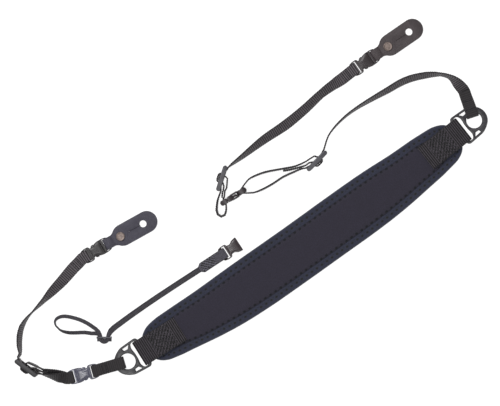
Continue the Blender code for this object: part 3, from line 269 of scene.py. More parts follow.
def blend(tree, factor, first, second):
    """Mix two colours by a factor."""
    node = add(tree, "Mix", {0: factor}, data_type="RGBA")
    for index, tint in ((6, first), (7, second)):
        if isinstance(tint, bpy.types.NodeSocket):
            tree.links.new(tint, node.inputs[index])
        else:
            node.inputs[index].default_value = (*tint, 1.0)
    return node.outputs[2]


def toned(tint, share, lift=0.0):
    """A darker or a paler tone of a colour."""
    return [min(channel * share + lift, 1.0) for channel in tint]


def in_solid(tree):
    """The place in the piece's own space."""
    return add(tree, "TexCoord").outputs["Object"]


def on_cloth(tree):
    """The two places on a cloth, in metres: along it and across it or in from its rim."""
    cloth = add(tree, "UVMap", uv_map=CLOTH_UV).outputs["UV"]
    place = add(tree, "SeparateXYZ", {"Vector": cloth})
    return place.outputs["X"], place.outputs["Y"]


def relief(tree, shader, height, depth, strength=1.0):
    """Give the shader a bump of a real depth."""
    bump = add(tree, "Bump", {"Height": height, "Distance": depth, "Strength": strength})
    tree.links.new(bump.outputs["Normal"], shader.inputs["Normal"])


def woven_material(name, crown, shade, rib_pitch, yarn_pitch, depth, fleck, shade_span=None,
                   quilted_span=None, half_width=0.0):
    """Ribbed nylon webbing: heavy weft ribs with warp yarns crossing over them.

    Matt, with a soft sheen where the filament yarns catch the light, painted shade in the gaps
    between the ribs and single paler filaments. The shade span gives where along the strap a
    painted shade is deepest and where it has faded out; the quilted span is puckered unevenly
    by its lattice of stitches, puffs painted paler. Given its half width, edges get painted
    shade.
    """
    finish, tree, shader = new_material(name, roughness=0.72, specular=0.35, sheen=0.12,
                                        sheen_roughness=0.45)
    along, across = on_cloth(tree)
    ribs = sine(tree, along, rib_pitch, math.pi / 2)
    half = sine(tree, along, rib_pitch * 2)
    yarns = sine(tree, across, yarn_pitch)
    crossing = calc(tree, "MULTIPLY", half, yarns)
    raised = calc(tree, "ADD", calc(tree, "MULTIPLY", ribs, 0.5),
                  calc(tree, "MULTIPLY", crossing, 0.12))
    height = calc(tree, "ADD", raised, 0.5)
    solid = in_solid(tree)
    mottle = noise(tree, solid, 5.0 * MM)
    fibre = noise(tree, solid, 0.7 * MM, 2.0)
    lit = calc(tree, "ADD", calc(tree, "SUBTRACT", height, 0.3),
               calc(tree, "MULTIPLY", fibre, 0.6))
    if quilted_span:
        start, end, period = quilted_span
        zone = calc(tree, "MULTIPLY", spread(tree, along, start - MM, start + MM),
                    spread(tree, along, end - MM, end + MM, 1.0, 0.0))
        drift = calc(tree, "MULTIPLY", calc(tree, "SUBTRACT", mottle, 0.5), 9.0 * MM)
        puffs = calc(tree, "MULTIPLY",
                     sine(tree, calc(tree, "ADD", along, drift), period),
                     sine(tree, calc(tree, "SUBTRACT", across, drift), period))
        puckers = calc(tree, "SUBTRACT", calc(tree, "MULTIPLY", puffs, 0.6),
                       calc(tree, "MULTIPLY", ribs, 0.38))
        lit = calc(tree, "ADD", lit, calc(tree, "MULTIPLY", zone, puckers))
        height = calc(tree, "ADD", height, calc(tree, "MULTIPLY", zone, puckers))
    # Painted light and shade: rib crowns take the paler colour, the gaps between the ribs the
    # shade colour
    base = blend(tree, spread(tree, lit, 0.2, 0.85), shade, crown)
    flecks = spread(tree, fibre, 0.62, 0.75, 0.0, 0.5)
    base = blend(tree, flecks, base, toned(crown, fleck))
    worn = spread(tree, mottle, 0.3, 0.7, 0.0, 0.28)
    base = blend(tree, worn, base, shade)
    if half_width:
        # Painted shade along both edges of the band
        painted_edge_shade = spread(tree, calc(tree, "ABSOLUTE", across), half_width - 1.3 * MM,
                          half_width - 0.1 * MM, 0.0, 0.85)
        base = blend(tree, painted_edge_shade, base, shade)
    if shade_span:
        # Painted shade, deepest at the first place and gone by the second
        painted_shade_along = spread(tree, along, *shade_span, 0.9, 0.0)
        base = blend(tree, painted_shade_along, base, shade)
    tree.links.new(base, shader.inputs["Base Color"])
    relief(tree, shader, calc(tree, "ADD", height, calc(tree, "MULTIPLY", fibre, 0.25)), depth)
    return finish


def stitch_dents(tree, along, inward, row, shift, pitch, half_length, half_width):
    """1 in each dent of a row of stitches and 0 between them."""
    beat = calc(tree, "FRACT", calc(tree, "ADD", calc(tree, "DIVIDE", along, pitch), shift))
    ahead = calc(tree, "MULTIPLY", calc(tree, "SUBTRACT", beat, 0.5), pitch / half_length)
    aside = calc(tree, "DIVIDE", calc(tree, "SUBTRACT", inward, row), half_width)
    reach = add(tree, "VectorMath", {0: add(tree, "CombineXYZ", {"X": ahead, "Y": aside})
                                     .outputs[0]}, operation="LENGTH").outputs["Value"]
    return spread(tree, reach, 0.45, 1.25, 1.0, 0.0)


def neoprene_material(settings, pitch):
    """Neoprene faced with nylon jersey: matt, slightly fuzzy, its stitches sunk and dark."""
    finish, tree, shader = new_material("neoprene_jersey", roughness=0.82, specular=0.25,
                                        sheen=0.25, sheen_roughness=0.6)
    along, inward = on_cloth(tree)
    solid = in_solid(tree)
    loops = noise(tree, solid, 1.1 * MM, 2.0)
    mottle = noise(tree, solid, 16.0 * MM)
    base = blend(tree, spread(tree, loops, 0.25, 0.8, 0.75, 0.0), settings.knit,
                 settings.knit_shade)
    base = blend(tree, spread(tree, mottle, 0.3, 0.75, 0.0, 0.35), base, settings.knit_shade)
    dents = stitch_dents(tree, along, inward, settings.outer_row, 0.0, pitch, 1.7 * MM,
                         1.35 * MM)
    between = stitch_dents(tree, along, inward, settings.outer_row + 1.6 * MM, 0.5, pitch,
                           1.0 * MM, 0.6 * MM)
    dark = calc(tree, "MAXIMUM", dents, calc(tree, "MULTIPLY", between, 0.4))
    base = blend(tree, dark, base, linear("#03040C"))
    tree.links.new(base, shader.inputs["Base Color"])
    height = calc(tree, "SUBTRACT", calc(tree, "MULTIPLY", loops, 0.25), dents)
    relief(tree, shader, height, 0.35 * MM)
    return finish


def panel_material(settings, heading, pitch):
    """Brushed nylon cloth: a close plain weave, matt and almost smooth."""
    finish, tree, shader = new_material("panel_nylon_cloth", roughness=0.78, specular=0.25,
                                        sheen=0.2)
    solid = in_solid(tree)
    turned = add(tree, "Mapping", {"Vector": solid, "Rotation": (0.0, 0.0, -heading)})
    place = add(tree, "SeparateXYZ", {"Vector": turned.outputs[0]})
    weft = sine(tree, place.outputs["X"], 1.3 * MM)
    warp = sine(tree, place.outputs["Y"], 1.3 * MM)
    weave = calc(tree, "MULTIPLY", weft, warp)
    mottle = noise(tree, solid, 9.0 * MM)
    fibre = noise(tree, solid, 1.2 * MM, 2.0)
    lit = calc(tree, "ADD", calc(tree, "MULTIPLY", weave, 0.16),
               calc(tree, "MULTIPLY", fibre, 0.9))
    base = blend(tree, spread(tree, lit, 0.15, 0.8), settings.panel_shade, settings.panel)
    base = blend(tree, spread(tree, mottle, 0.35, 0.75, 0.0, 0.3), base, settings.panel_shade)
    along, inward = on_cloth(tree)
    seam = stitch_dents(tree, along, inward, settings.panel_row, 0.5, pitch, 1.75 * MM,
                        1.4 * MM)
    # Painted shade along the panel's sewn-down edge
    painted_fold_shade = spread(tree, inward, 0.0, 2.0 * MM, 0.3, 0.0)
    base = blend(tree, calc(tree, "MAXIMUM", seam, painted_fold_shade), base, linear("#04050E"))
    tree.links.new(base, shader.inputs["Base Color"])
    height = calc(tree, "SUBTRACT", calc(tree, "MULTIPLY", lit, 0.3), seam)
    relief(tree, shader, height, 0.25 * MM)
    return finish


def moulded_material(name, tint, roughness):
    """Injection-moulded acetal: satin skin, a painted highlight on the edges, faint flow marks.
    """
    finish, tree, shader = new_material(name, ior=1.48)
    solid = in_solid(tree)
    flow = noise(tree, solid, 6.0 * MM)
    orange_peel = noise(tree, solid, 3.0 * MM, 1.0)
    edge = add(tree, "NewGeometry").outputs["Pointiness"]
    # Painted highlight: sharp edges are drawn paler
    painted_edge_highlight = spread(tree, edge, 0.505, 0.60, 0.0, 0.55)
    base = blend(tree, spread(tree, flow, 0.3, 0.7, 0.0, 0.6), tint, toned(tint, 0.72))
    base = blend(tree, painted_edge_highlight, base, toned(tint, 1.9, 0.02))
    tree.links.new(base, shader.inputs["Base Color"])
    rough = calc(tree, "MULTIPLY_ADD", flow, 0.16, roughness - 0.08)
    tree.links.new(rough, shader.inputs["Roughness"])
    relief(tree, shader, orange_peel, 0.05 * MM, 0.6)
    return finish


def leather_material(name, tint, grain):
    """Split leather with an embossed grain: small irregular cells, dull, creases darker."""
    finish, tree, shader = new_material(name, roughness=0.6, specular=0.4)
    solid = in_solid(tree)
    bent = add(tree, "TexNoise", {"Vector": solid, "Scale": 1.0 / (2.5 * MM)})
    shifted = add(tree, "VectorMath", {0: bent.outputs["Color"], 1: [0.5 * MM] * 3, 2: solid},
                  operation="MULTIPLY_ADD")
    cells = add(tree, "TexVoronoi", {"Vector": shifted.outputs[0], "Scale": 1.0 / grain},
                feature="DISTANCE_TO_EDGE").outputs["Distance"]
    crease = spread(tree, cells, 0.0, 0.22, 1.0, 0.0)
    mottle = noise(tree, solid, 7.0 * MM)
    base = blend(tree, calc(tree, "MULTIPLY", crease, 0.45), tint, toned(tint, 0.6))
    base = blend(tree, spread(tree, mottle, 0.4, 0.8, 0.0, 0.4), base, toned(tint, 1.35))
    tree.links.new(base, shader.inputs["Base Color"])
    relief(tree, shader, calc(tree, "SUBTRACT", 1.0, crease), 0.12 * MM)
    return finish


def plated_material(tint):
    """Pressed rivet cap in worn copper-nickel plating: brushed, with dull spots."""
    finish, tree, shader = new_material("worn_plated_brass", metallic=1.0)
    solid = in_solid(tree)
    spots = noise(tree, solid, 1.6 * MM)
    scratch = noise(tree, solid, 0.35 * MM, 4.0)
    base = blend(tree, spread(tree, spots, 0.42, 0.7, 0.0, 0.6), tint, toned(tint, 0.55))
    tree.links.new(base, shader.inputs["Base Color"])
    tree.links.new(calc(tree, "MULTIPLY_ADD", spots, 0.3, 0.42), shader.inputs["Roughness"])
    relief(tree, shader, scratch, 0.008 * MM, 0.5)
    return finish


def thread_material(tint):
    """Bonded polyester thread: dark and slightly waxy, its plies turning round it."""
    finish, tree, shader = new_material("polyester_thread", roughness=0.5)
    solid = in_solid(tree)
    plies = noise(tree, solid, 0.4 * MM, 2.0)
    base = blend(tree, spread(tree, plies, 0.4, 0.7), tint, toned(tint, 2.2))
    tree.links.new(base, shader.inputs["Base Color"])
    relief(tree, shader, plies, 0.05 * MM)
    return finish


# Modelling

def deselect_all():
    """Leave edit mode and clear the selection."""
    if bpy.context.mode != "OBJECT":
        bpy.ops.object.mode_set(mode="OBJECT")
    bpy.ops.object.select_all(action="DESELECT")


def activate(piece):
    """Select one object alone and make it the active one."""
    deselect_all()
    piece.select_set(True)
    bpy.context.view_layer.objects.active = piece


def edit(piece):
    """Enter edit mode on a piece with all of its mesh selected."""
    activate(piece)
    bpy.ops.object.mode_set(mode="EDIT")
    bpy.ops.mesh.select_all(action="SELECT")


def named(name):
    """Name the object that an operator has just added."""
    piece = bpy.context.object
    piece.name = name
    piece.data.name = name
    return piece


def grid(name, columns, rows):
    """A flat grid from -0.5 to 0.5 both ways, to be bent into shape."""
    deselect_all()
    bpy.ops.mesh.primitive_grid_add(x_subdivisions=columns, y_subdivisions=rows, size=1.0)
    return named(name)


def lay_cloth(mesh, places):
    """Write each corner's place on the cloth, in metres, as its UV."""
    layer = mesh.uv_layers.active
    layer.name = CLOTH_UV
    for loop in mesh.loops:
        layer.data[loop.index].uv = places[loop.vertex_index]


def bevelled(piece, width, above, harden=False):
    """Round the edges of a piece that are sharper than an angle in degrees."""
    bevel = piece.modifiers.new("rounding", "BEVEL")
    bevel.width = width
    bevel.segments = 3
    bevel.limit_method = "ANGLE"
    bevel.angle_limit = math.radians(above)
    bevel.harden_normals = harden
    bpy.ops.object.modifier_apply(modifier=bevel.name)


def joined(name, pieces):
    """Join several objects into one."""
    activate(pieces[0])
    for piece in pieces[1:]:
        piece.select_set(True)
    bpy.ops.object.join()
    return named(name)


def dressed(piece, finish, stands_for=()):
    """Apply a piece's place, give it its material and let it ride on the body."""
    activate(piece)
    bpy.ops.object.transform_apply(location=True, rotation=True, scale=True)
    piece.data.materials.clear()
    piece.data.materials.append(finish)
    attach(piece, BODY)
    if stands_for:
        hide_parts(*stands_for)
    return piece


def box_centre(node):
    """The middle of a CAD node's box."""
    low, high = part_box(node)
    return (Vector(low) + Vector(high)) / 2


def welded(node):
    """A bmesh copy of a CAD node with its loose triangles joined."""
    shape = bmesh.new()
    shape.from_mesh(NODES[node].data)
    bmesh.ops.remove_doubles(shape, verts=shape.verts, dist=WELD)
    shape.verts.index_update()
    return shape


# Strips: read from their solids, smoothed and woven anew

def end_caps(shape):
    """The four corners of each blunt end of a strip, in order round it."""
    caps = []
    for edge in shape.edges:
        if len(edge.link_faces) != 2 or edge.calc_face_angle(1.0) > FLAT:
            continue
        wings = [vert for face in edge.link_faces for vert in face.verts
                 if vert not in edge.verts]
        ring = [edge.verts[0], wings[0], edge.verts[1], wings[1]]
        beyond = {link.other_vert(vert) for vert in ring for link in vert.link_edges}
        if len(beyond - set(ring)) == 4:
            caps.append(ring)
    return caps


def next_ring(ring, seen):
    """The section after this one, its corners in the same order, or None at the end."""
    ahead = {link.other_vert(vert) for vert in ring for link in vert.link_edges} - seen
    if len(ahead) != 4:
        return None
    orders = permutations(sorted(ahead, key=lambda vert: vert.index))
    return list(min(orders, key=lambda order: sum((a.co - b.co).length
                                                  for a, b in zip(ring, order))))


def stations(node, first_near):
    """The sections of a folded strip in order, from the end nearest to another node."""
    shape = welded(node)
    near = box_centre(first_near)
    ring = min(end_caps(shape), key=lambda cap: (cap[0].co - near).length)
    if (ring[0].co - ring[1].co).length < (ring[1].co - ring[2].co).length:
        ring = ring[1:] + ring[:1]
    found, seen = [], set()
    while ring:
        a, b, c, d = [vert.co.copy() for vert in ring]
        found.append(Station((a + b + c + d) / 4, (b + c - a - d) / 4, (c + d - a - b) / 4))
        seen.update(ring)
        ring = next_ring(ring, seen)
    shape.free()
    return found


def mixed(first, second, share):
    """A vector between two others, turned and lengthened evenly."""
    length = first.length + (second.length - first.length) * share
    return first.lerp(second, share).normalized() * length


def between(here, after, share):
    """A station between two others."""
    return Station(here.centre.lerp(after.centre, share), mixed(here.side, after.side, share),
                   mixed(here.normal, after.normal, share))


def split_gaps(marks):
    """Stations added on the long straight runs, so that the curve does not swing off them."""
    closer = []
    for here, after in zip(marks, marks[1:]):
        parts = max(1, math.ceil((after.centre - here.centre).length / LONGEST_GAP))
        closer += [between(here, after, part / parts) for part in range(parts)]
    closer.append(marks[-1])
    return closer


def smooth_path(marks, step):
    """Evenly spaced stations along a smooth curve through the given ones."""
    marks = split_gaps(marks)
    points = [mark.centre for mark in marks]
    gaps = [(after - here).length for here, after in zip(points, points[1:])]
    rates = [(after - here) / gap for here, after, gap in zip(points, points[1:], gaps)]
    slopes = [rates[0]]
    for before, after, gap_before, gap_after in zip(rates, rates[1:], gaps, gaps[1:]):
        slopes.append((before * gap_after + after * gap_before) / (gap_before + gap_after))
    slopes.append(rates[-1])
    dense = []
    for index, gap in enumerate(gaps):
        for part in range(DENSE_PARTS):
            t = part / DENSE_PARTS
            centre = (points[index] * (2 * t ** 3 - 3 * t ** 2 + 1)
                      + slopes[index] * gap * (t ** 3 - 2 * t ** 2 + t)
                      + points[index + 1] * (3 * t ** 2 - 2 * t ** 3)
                      + slopes[index + 1] * gap * (t ** 3 - t ** 2))
            dense.append(between(marks[index], marks[index + 1], t)._replace(centre=centre))
    dense.append(marks[-1])
    reached = [0.0]
    for here, after in zip(dense, dense[1:]):
        reached.append(reached[-1] + (after.centre - here.centre).length)
    count = max(2, round(reached[-1] / step))
    path, index = [], 0
    for mark in range(count + 1):
        at = reached[-1] * mark / count
        while index < len(dense) - 2 and reached[index + 1] < at:
            index += 1
        share = (at - reached[index]) / max(reached[index + 1] - reached[index], WELD)
        path.append(between(dense[index], dense[index + 1], share))
    return path, reached[-1]


def section(path, columns):
    """A flat oval section: shares of the half width and half thickness, and rib share."""
    edge = 0.85 * path[0].normal.length / path[0].side.length
    flat = [-(1 - edge) + 2 * (1 - edge) * index / columns for index in range(columns + 1)]
    top = [(across, 1.0, 1.0) for across in flat]
    right = [(1 - edge * 0.28, 0.72, 0.8), (1.0, 0.0, 0.5), (1 - edge * 0.28, -0.72, 0.8)]
    bottom = [(across, -1.0, 1.0) for across in reversed(flat)]
    left = [(-across, -high, share) for across, high, share in right]
    return top + right + bottom + left


def weave_strip(name, path, length, rib_pitch, rib_height, columns=6):
    """A band of webbing laid along a path, its cross ribs raised and its edges scalloped.

    Ribs that would sink into the table are pressed flat.
    """
    rows = section(path, columns)
    count, around = len(path) - 1, len(rows)
    piece = grid(name, count, around)
    places = []
    ribs = max(1, round(length / rib_pitch))
    for vert in piece.data.vertices:
        along = round((vert.co.x + 0.5) * count)
        across, high, share = rows[round((vert.co.y + 0.5) * around) % around]
        station = path[along]
        wave = math.cos(2 * math.pi * ribs * along / count)
        proud = share * rib_height * wave
        rise = station.normal * high * (1 + proud / station.normal.length)
        reach = station.side * across * (1 + 1.2 * proud / station.side.length)
        vert.co = station.centre + reach + rise
        vert.co.z = max(vert.co.z, 0.0)
        places.append((length * along / count, across * station.side.length))
    lay_cloth(piece.data, places)
    edit(piece)
    bpy.ops.mesh.remove_doubles(threshold=WELD)
    bpy.ops.mesh.fill_holes(sides=0)
    bpy.ops.mesh.select_all(action="SELECT")
    bpy.ops.mesh.normals_make_consistent(inside=False)
    bpy.ops.object.mode_set(mode="OBJECT")
    bpy.ops.object.shade_smooth()
    return piece


def thread_bead(length, width):
    """One stitch: a low-poly bead of thread, as vertices and faces."""
    deselect_all()
    bpy.ops.mesh.primitive_ico_sphere_add(subdivisions=1, radius=0.5)
    bead = bpy.context.object
    shape = np.array([vert.co for vert in bead.data.vertices]) * (length, width, width * 0.7)
    faces = [tuple(face.vertices) for face in bead.data.polygons]
    bpy.data.objects.remove(bead, do_unlink=True)
    return shape, faces


def sew(name, places, length, width):
    """Stitches at places given as (point, along, upwards), joined in one piece."""
    shape, faces = thread_bead(length, width)
    verts, joined_faces = [], []
    for index, (point, along, upwards) in enumerate(places):
        ahead = along.normalized()
        aside = upwards.cross(ahead).normalized()
        lift = ahead.cross(aside)
        turn = np.array((ahead, aside, lift))
        verts.extend((shape @ turn + np.array(point)).tolist())
        start = index * len(shape)
        joined_faces.extend([tuple(start + corner for corner in face) for face in faces])
    mesh = bpy.data.meshes.new(name)
    mesh.from_pydata(verts, [], joined_faces)
    piece = bpy.data.objects.new(name, mesh)
    bpy.context.scene.collection.objects.link(piece)
    activate(piece)
    bpy.ops.object.shade_smooth()
    return piece


def on_strip(path, length, along, across, tilt):
    """Point, direction and upward normal on a strip's upper face, for one stitch."""
    count = len(path) - 1
    index = min(max(round(along / length * count), 1), count - 1)
    station = path[index]
    travel = (path[index + 1].centre - path[index - 1].centre).normalized()
    upwards = station.normal.normalized()
    if upwards.z < -0.2:
        upwards = -upwards
    side = station.side.normalized()
    point = station.centre + side * across + upwards * station.normal.length
    turned = travel * math.cos(tilt) + side * math.sin(tilt)
    return point, turned, upwards


def upper_span(path, length, span):
    """A span measured from the strip's upper end, whichever end the path starts at."""
    start, end = span
    if path[2].centre.z < path[-3].centre.z:
        return length - end, length - start
    return start, end


def lattice_places(path, length, span, lattice, turn):
    """Places of the stitches that a lattice sews across a span, leaning both ways in turn."""
    half = lattice / 2
    reach = max(station.side.length for station in path) * SEWN_SHARE
    rows = math.floor(reach / half + 0.5)
    places = []
    for beat in range(math.ceil(span[0] / half), math.floor(span[1] / half)):
        for row in range(-rows, rows):
            if (beat + row) % 2:
                tilt = math.radians(turn if row % 2 else -turn)
                places.append(on_strip(path, length, (beat + 0.5) * half, (row + 0.5) * half,
                                       tilt))
    return places


def tack_places(path, length, along):
    """Places of the stitches of a bar tack across a strap."""
    reach = path[0].side.length
    places = []
    for beat in range(TACK_STITCHES):
        across = reach * (TACK_SHARE * 2 * beat / (TACK_STITCHES - 1) - TACK_SHARE)
        tilt = math.radians(38 if beat % 2 else -38)
        places.append(on_strip(path, length, along, across, tilt))
    return places


# Pad

def pad_frame():
    """Middle and long direction of the pad, seen from above."""
    shape = welded("pad_base")
    spots = np.array([vert.co.xy for vert in shape.verts])
    shape.free()
    middle = spots.mean(axis=0)
    values, axes = np.linalg.eigh(np.cov((spots - middle).T))
    long_way = axes[:, np.argmax(values)]
    return middle, long_way * (1 if long_way[0] > 0 else -1)


def plan_edges(node, middle, long_way, cell):
    """Columns along a flat piece with the lower and upper edge at each, seen from above."""
    shape = welded(node)
    ends = np.array([[edge.verts[0].co.xy, edge.verts[1].co.xy] for edge in shape.edges])
    shape.free()
    aside = np.array((-long_way[1], long_way[0]))
    local = np.stack(((ends - middle) @ long_way, (ends - middle) @ aside), axis=2)
    low, high = local[..., 0].min(), local[..., 0].max()
    turn = np.linspace(-math.pi / 2, math.pi / 2, RIM_SAMPLES)
    fine = np.clip((low + high) / 2 + (high - low) / 2 * np.sin(turn), low, high)
    first, second = local[:, 0], local[:, 1]
    upper, lower = [], []
    for at in fine:
        crossing = (first[:, 0] - at) * (second[:, 0] - at) <= 0
        run = second[crossing, 0] - first[crossing, 0]
        sloping = np.abs(run) > TINY
        share = np.where(sloping, (at - first[crossing, 0]) / np.where(sloping, run, 1.0), 0.0)
        heights = first[crossing, 1] + share * (second[crossing, 1] - first[crossing, 1])
        upper.append(heights.max())
        lower.append(heights.min())
    upper, lower = np.array(upper), np.array(lower)
    walked = np.concatenate(([0.0], np.cumsum(np.hypot(np.diff(fine), np.diff(upper)))))
    columns = np.interp(np.linspace(0.0, walked[-1], round(walked[-1] / cell) + 1),
                        walked, fine)
    return columns, np.interp(columns, fine, lower), np.interp(columns, fine, upper)


def rim_reader(columns, lower, upper):
    """A function that gives arc length round the rim and distance in from it."""
    outline = list(zip(columns, upper)) + list(zip(columns[::-1], lower[::-1]))
    fine = []
    for here, after in zip(outline, outline[1:] + outline[:1]):
        gap = math.dist(here, after)
        parts = max(1, math.ceil(gap / RIM_STEP))
        fine += [Vector((here[0] + (after[0] - here[0]) * part / parts,
                         here[1] + (after[1] - here[1]) * part / parts, 0.0))
                 for part in range(parts)]
    walked = [0.0]
    for here, after in zip(fine, fine[1:] + fine[:1]):
        walked.append(walked[-1] + (after - here).length)
    tree = KDTree(len(fine))
    for index, spot in enumerate(fine):
        tree.insert(spot, index)
    tree.balance()

    def read(x, y):
        spot = Vector((x, y, 0.0))
        _, index, _ = tree.find(spot)
        best = None
        for start in (index - 1, index):
            here, after = fine[start], fine[(start + 1) % len(fine)]
            run = after - here
            share = min(max((spot - here).dot(run) / max(run.length_squared, TINY ** 2), 0), 1)
            gap = (spot - here - run * share).length
            if best is None or gap < best[1]:
                best = (walked[start % len(fine)] + share * run.length, gap)
        return best
    return read, walked[-1]


def quilted(name, node, settings, rows, height, bottom):
    """A flat padded piece with a mesh that follows its rim.

    The height of its top at a distance in from the rim and a place along it, and that of
    its bottom, are given as functions. Also returns its edges and its stitches' pitch.
    """
    middle, long_way = pad_frame()
    aside = np.array((-long_way[1], long_way[0]))
    columns, lower, upper = plan_edges(node, middle, long_way, settings.cell)
    read, rim = rim_reader(columns, lower, upper)
    pitch = rim / round(rim / settings.stitch_pitch)
    count = len(columns) - 1
    halves = []
    for face in (1, -1):
        half = grid(name, count, rows)
        places = []
        for vert in half.data.vertices:
            index = round((vert.co.x + 0.5) * count)
            share = 2 * vert.co.y
            spaced = 0.45 * share + 0.55 * math.sin(share * math.pi / 2)
            x = columns[index]
            y = ((lower[index] + upper[index]) / 2
                 + (upper[index] - lower[index]) / 2 * spaced)
            along, inward = read(x, y)
            z = height(inward, along, pitch) if face > 0 else bottom(inward)
            spot = middle + long_way * x + aside * y
            vert.co = (spot[0], spot[1], z)
            places.append((along, inward))
        lay_cloth(half.data, places)
        halves.append(half)
    piece = joined(name, halves)
    edit(piece)
    bpy.ops.mesh.remove_doubles(threshold=0.02 * MM)
    bpy.ops.mesh.normals_make_consistent(inside=False)
    bpy.ops.object.mode_set(mode="OBJECT")
    bpy.ops.object.shade_smooth()
    return piece, (columns, lower, upper), pitch


def rounded_rim(inward, radius, half_height):
    """Height above the rim's middle at a distance in from the rim."""
    if inward >= radius:
        return half_height
    return half_height * math.sqrt(max(0.0, 1 - (1 - inward / radius) ** 2))


def hollow(distance, width):
    """A smooth hollow one width to each side."""
    return math.exp(-(distance / width) ** 2)


class NECKSTRAP_OT_pad(bpy.types.Operator):
    """Model the neoprene pad, its raised cloth panel and their stitches"""
    bl_idname = "neckstrap.pad"
    bl_label = "Pad"

    def execute(self, context):
        settings = context.scene.neck_strap.pad
        low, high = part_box("pad_base")
        half = (high[2] - low[2]) / 2
        middle = (high[2] + low[2]) / 2
        radius = settings.edge_radius

        def top(inward, along, pitch):
            z = middle + rounded_rim(inward, radius, half)
            z -= ROW_GROOVE * hollow(inward - settings.outer_row, 0.9 * MM)
            beat = ((along / pitch) % 1.0 - 0.5) * pitch
            reach = math.hypot(beat, inward - settings.outer_row)
            return z - settings.stitch_depth * hollow(reach, DENT_WIDTH)

        def under(inward):
            return middle - rounded_rim(inward, radius, half)

        pad, _, pitch = quilted("pad_cushion", "pad_base", settings, PAD_ROWS, top, under)
        dressed(pad, neoprene_material(settings, pitch), ["pad_base"])
        self.panel(settings)
        return {"FINISHED"}

    def panel(self, settings):
        """The cloth panel, pressed down along its sewn edge and softly crowned inside."""
        low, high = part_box("pad_panel")
        floor, crown = low[2], high[2] - low[2]

        def top(inward, along, pitch):
            shoulder = min(inward / PANEL_SHOULDER, 1.0)
            z = floor + crown * (0.22 + 0.78 * math.sin(shoulder * math.pi / 2))
            beat = ((along / pitch + 0.5) % 1.0 - 0.5) * pitch
            reach = math.hypot(beat, inward - settings.panel_row)
            z -= 0.3 * settings.stitch_depth * hollow(reach, DENT_WIDTH)
            return z if inward > 0.05 * MM else floor + 0.1 * MM

        panel, edges, pitch = quilted("pad_panel_cloth", "pad_panel", settings, PANEL_ROWS, top,
                                      lambda inward: floor)
        heading = math.atan2(*reversed(pad_frame()[1].tolist()))
        dressed(panel, panel_material(settings, heading, pitch), ["pad_panel"])


class NECKSTRAP_OT_pad_tabs(bpy.types.Operator):
    """Weave the heavy tabs that hold the rings, with their box of zigzag stitches"""
    bl_idname = "neckstrap.pad_tabs"
    bl_label = "Pad Tabs"

    def execute(self, context):
        settings = context.scene.neck_strap.webbing
        pitch = settings.tab_rib_pitch
        thread = thread_material(settings.thread)
        for side in ("right", "left"):
            node = "pad_tab_" + side
            path, length = smooth_path(stations(node, "pad_panel"), pitch / 5)
            piece = weave_strip(node + "_webbing", path, length, pitch, TAB_RIB, 12)
            reach = path[0].side.length
            span = upper_span(path, length, TAB_SEWN)
            finish = woven_material(node + "_coarse_nylon", settings.tab, settings.tab_shade,
                                    pitch, settings.yarn_pitch * 1.4, depth=0.3 * MM,
                                    fleck=2.6, quilted_span=(*span, LATTICE),
                                    half_width=reach)
            dressed(piece, finish, [node])
            places = lattice_places(path, length, span, LATTICE, 40)
            stitches = sew(node + "_stitches", places, *TAB_STITCH)
            dressed(stitches, thread)
        return {"FINISHED"}


# Places beyond the end of a strap, so that its painted shade darkens it all along
ALL_SHADED = (200 * MM, 201 * MM)
# Each strap, the node that its path starts at and, measured from there, its bar tacks and the
# places between which its painted shade goes from deepest to none
STRAPS = (
    ("strap_right", "ring_right", (11 * MM, 20 * MM), (50 * MM, 80 * MM)),
    ("strap_upper", "right_buckle_female", (2.5 * MM, 8.5 * MM), None),
    ("strap_left", "left_buckle_female", (2.5 * MM, 8.5 * MM), (190 * MM, 150 * MM)),
    ("strap_ring", "ring_left", (4 * MM,), ALL_SHADED),
)


class NECKSTRAP_OT_straps(bpy.types.Operator):
    """Weave the four lengths of strap webbing and their bar tacks"""
    bl_idname = "neckstrap.straps"
    bl_label = "Straps"

    def execute(self, context):
        settings = context.scene.neck_strap.webbing
        pitch = settings.rib_pitch
        thread = thread_material(settings.thread)
        for node, first_near, tacks, shade_span in STRAPS:
            finish = woven_material(node + "_nylon", settings.strap, settings.strap_shade,
                                    pitch, settings.yarn_pitch, depth=0.22 * MM, fleck=1.9,
                                    shade_span=shade_span, half_width=6.0 * MM)
            path, length = smooth_path(stations(node, first_near), pitch / 4)
            piece = weave_strip(node + "_webbing", path, length, pitch, settings.rib_height)
            dressed(piece, finish, [node])
            places = [place for tack in tacks for place in tack_places(path, length, tack)]
            stitches = sew(node + "_tack", places, *TACK_STITCH)
            dressed(stitches, thread)
        return {"FINISHED"}


# Moulded and leather pieces

def rounded_copy(node, name, rounding, smooth_below):
    """A welded copy of a solid with its sharp edges rounded."""
    piece = bpy.data.objects.new(name, NODES[node].data.copy())
    bpy.context.scene.collection.objects.link(piece)
    edit(piece)
    bpy.ops.mesh.remove_doubles(threshold=WELD)
    bpy.ops.mesh.dissolve_limited(angle_limit=FLAT)
    bpy.ops.object.mode_set(mode="OBJECT")
    bevelled(piece, rounding, 30, harden=True)
    bpy.ops.object.shade_smooth_by_angle(angle=math.radians(smooth_below))
    return piece


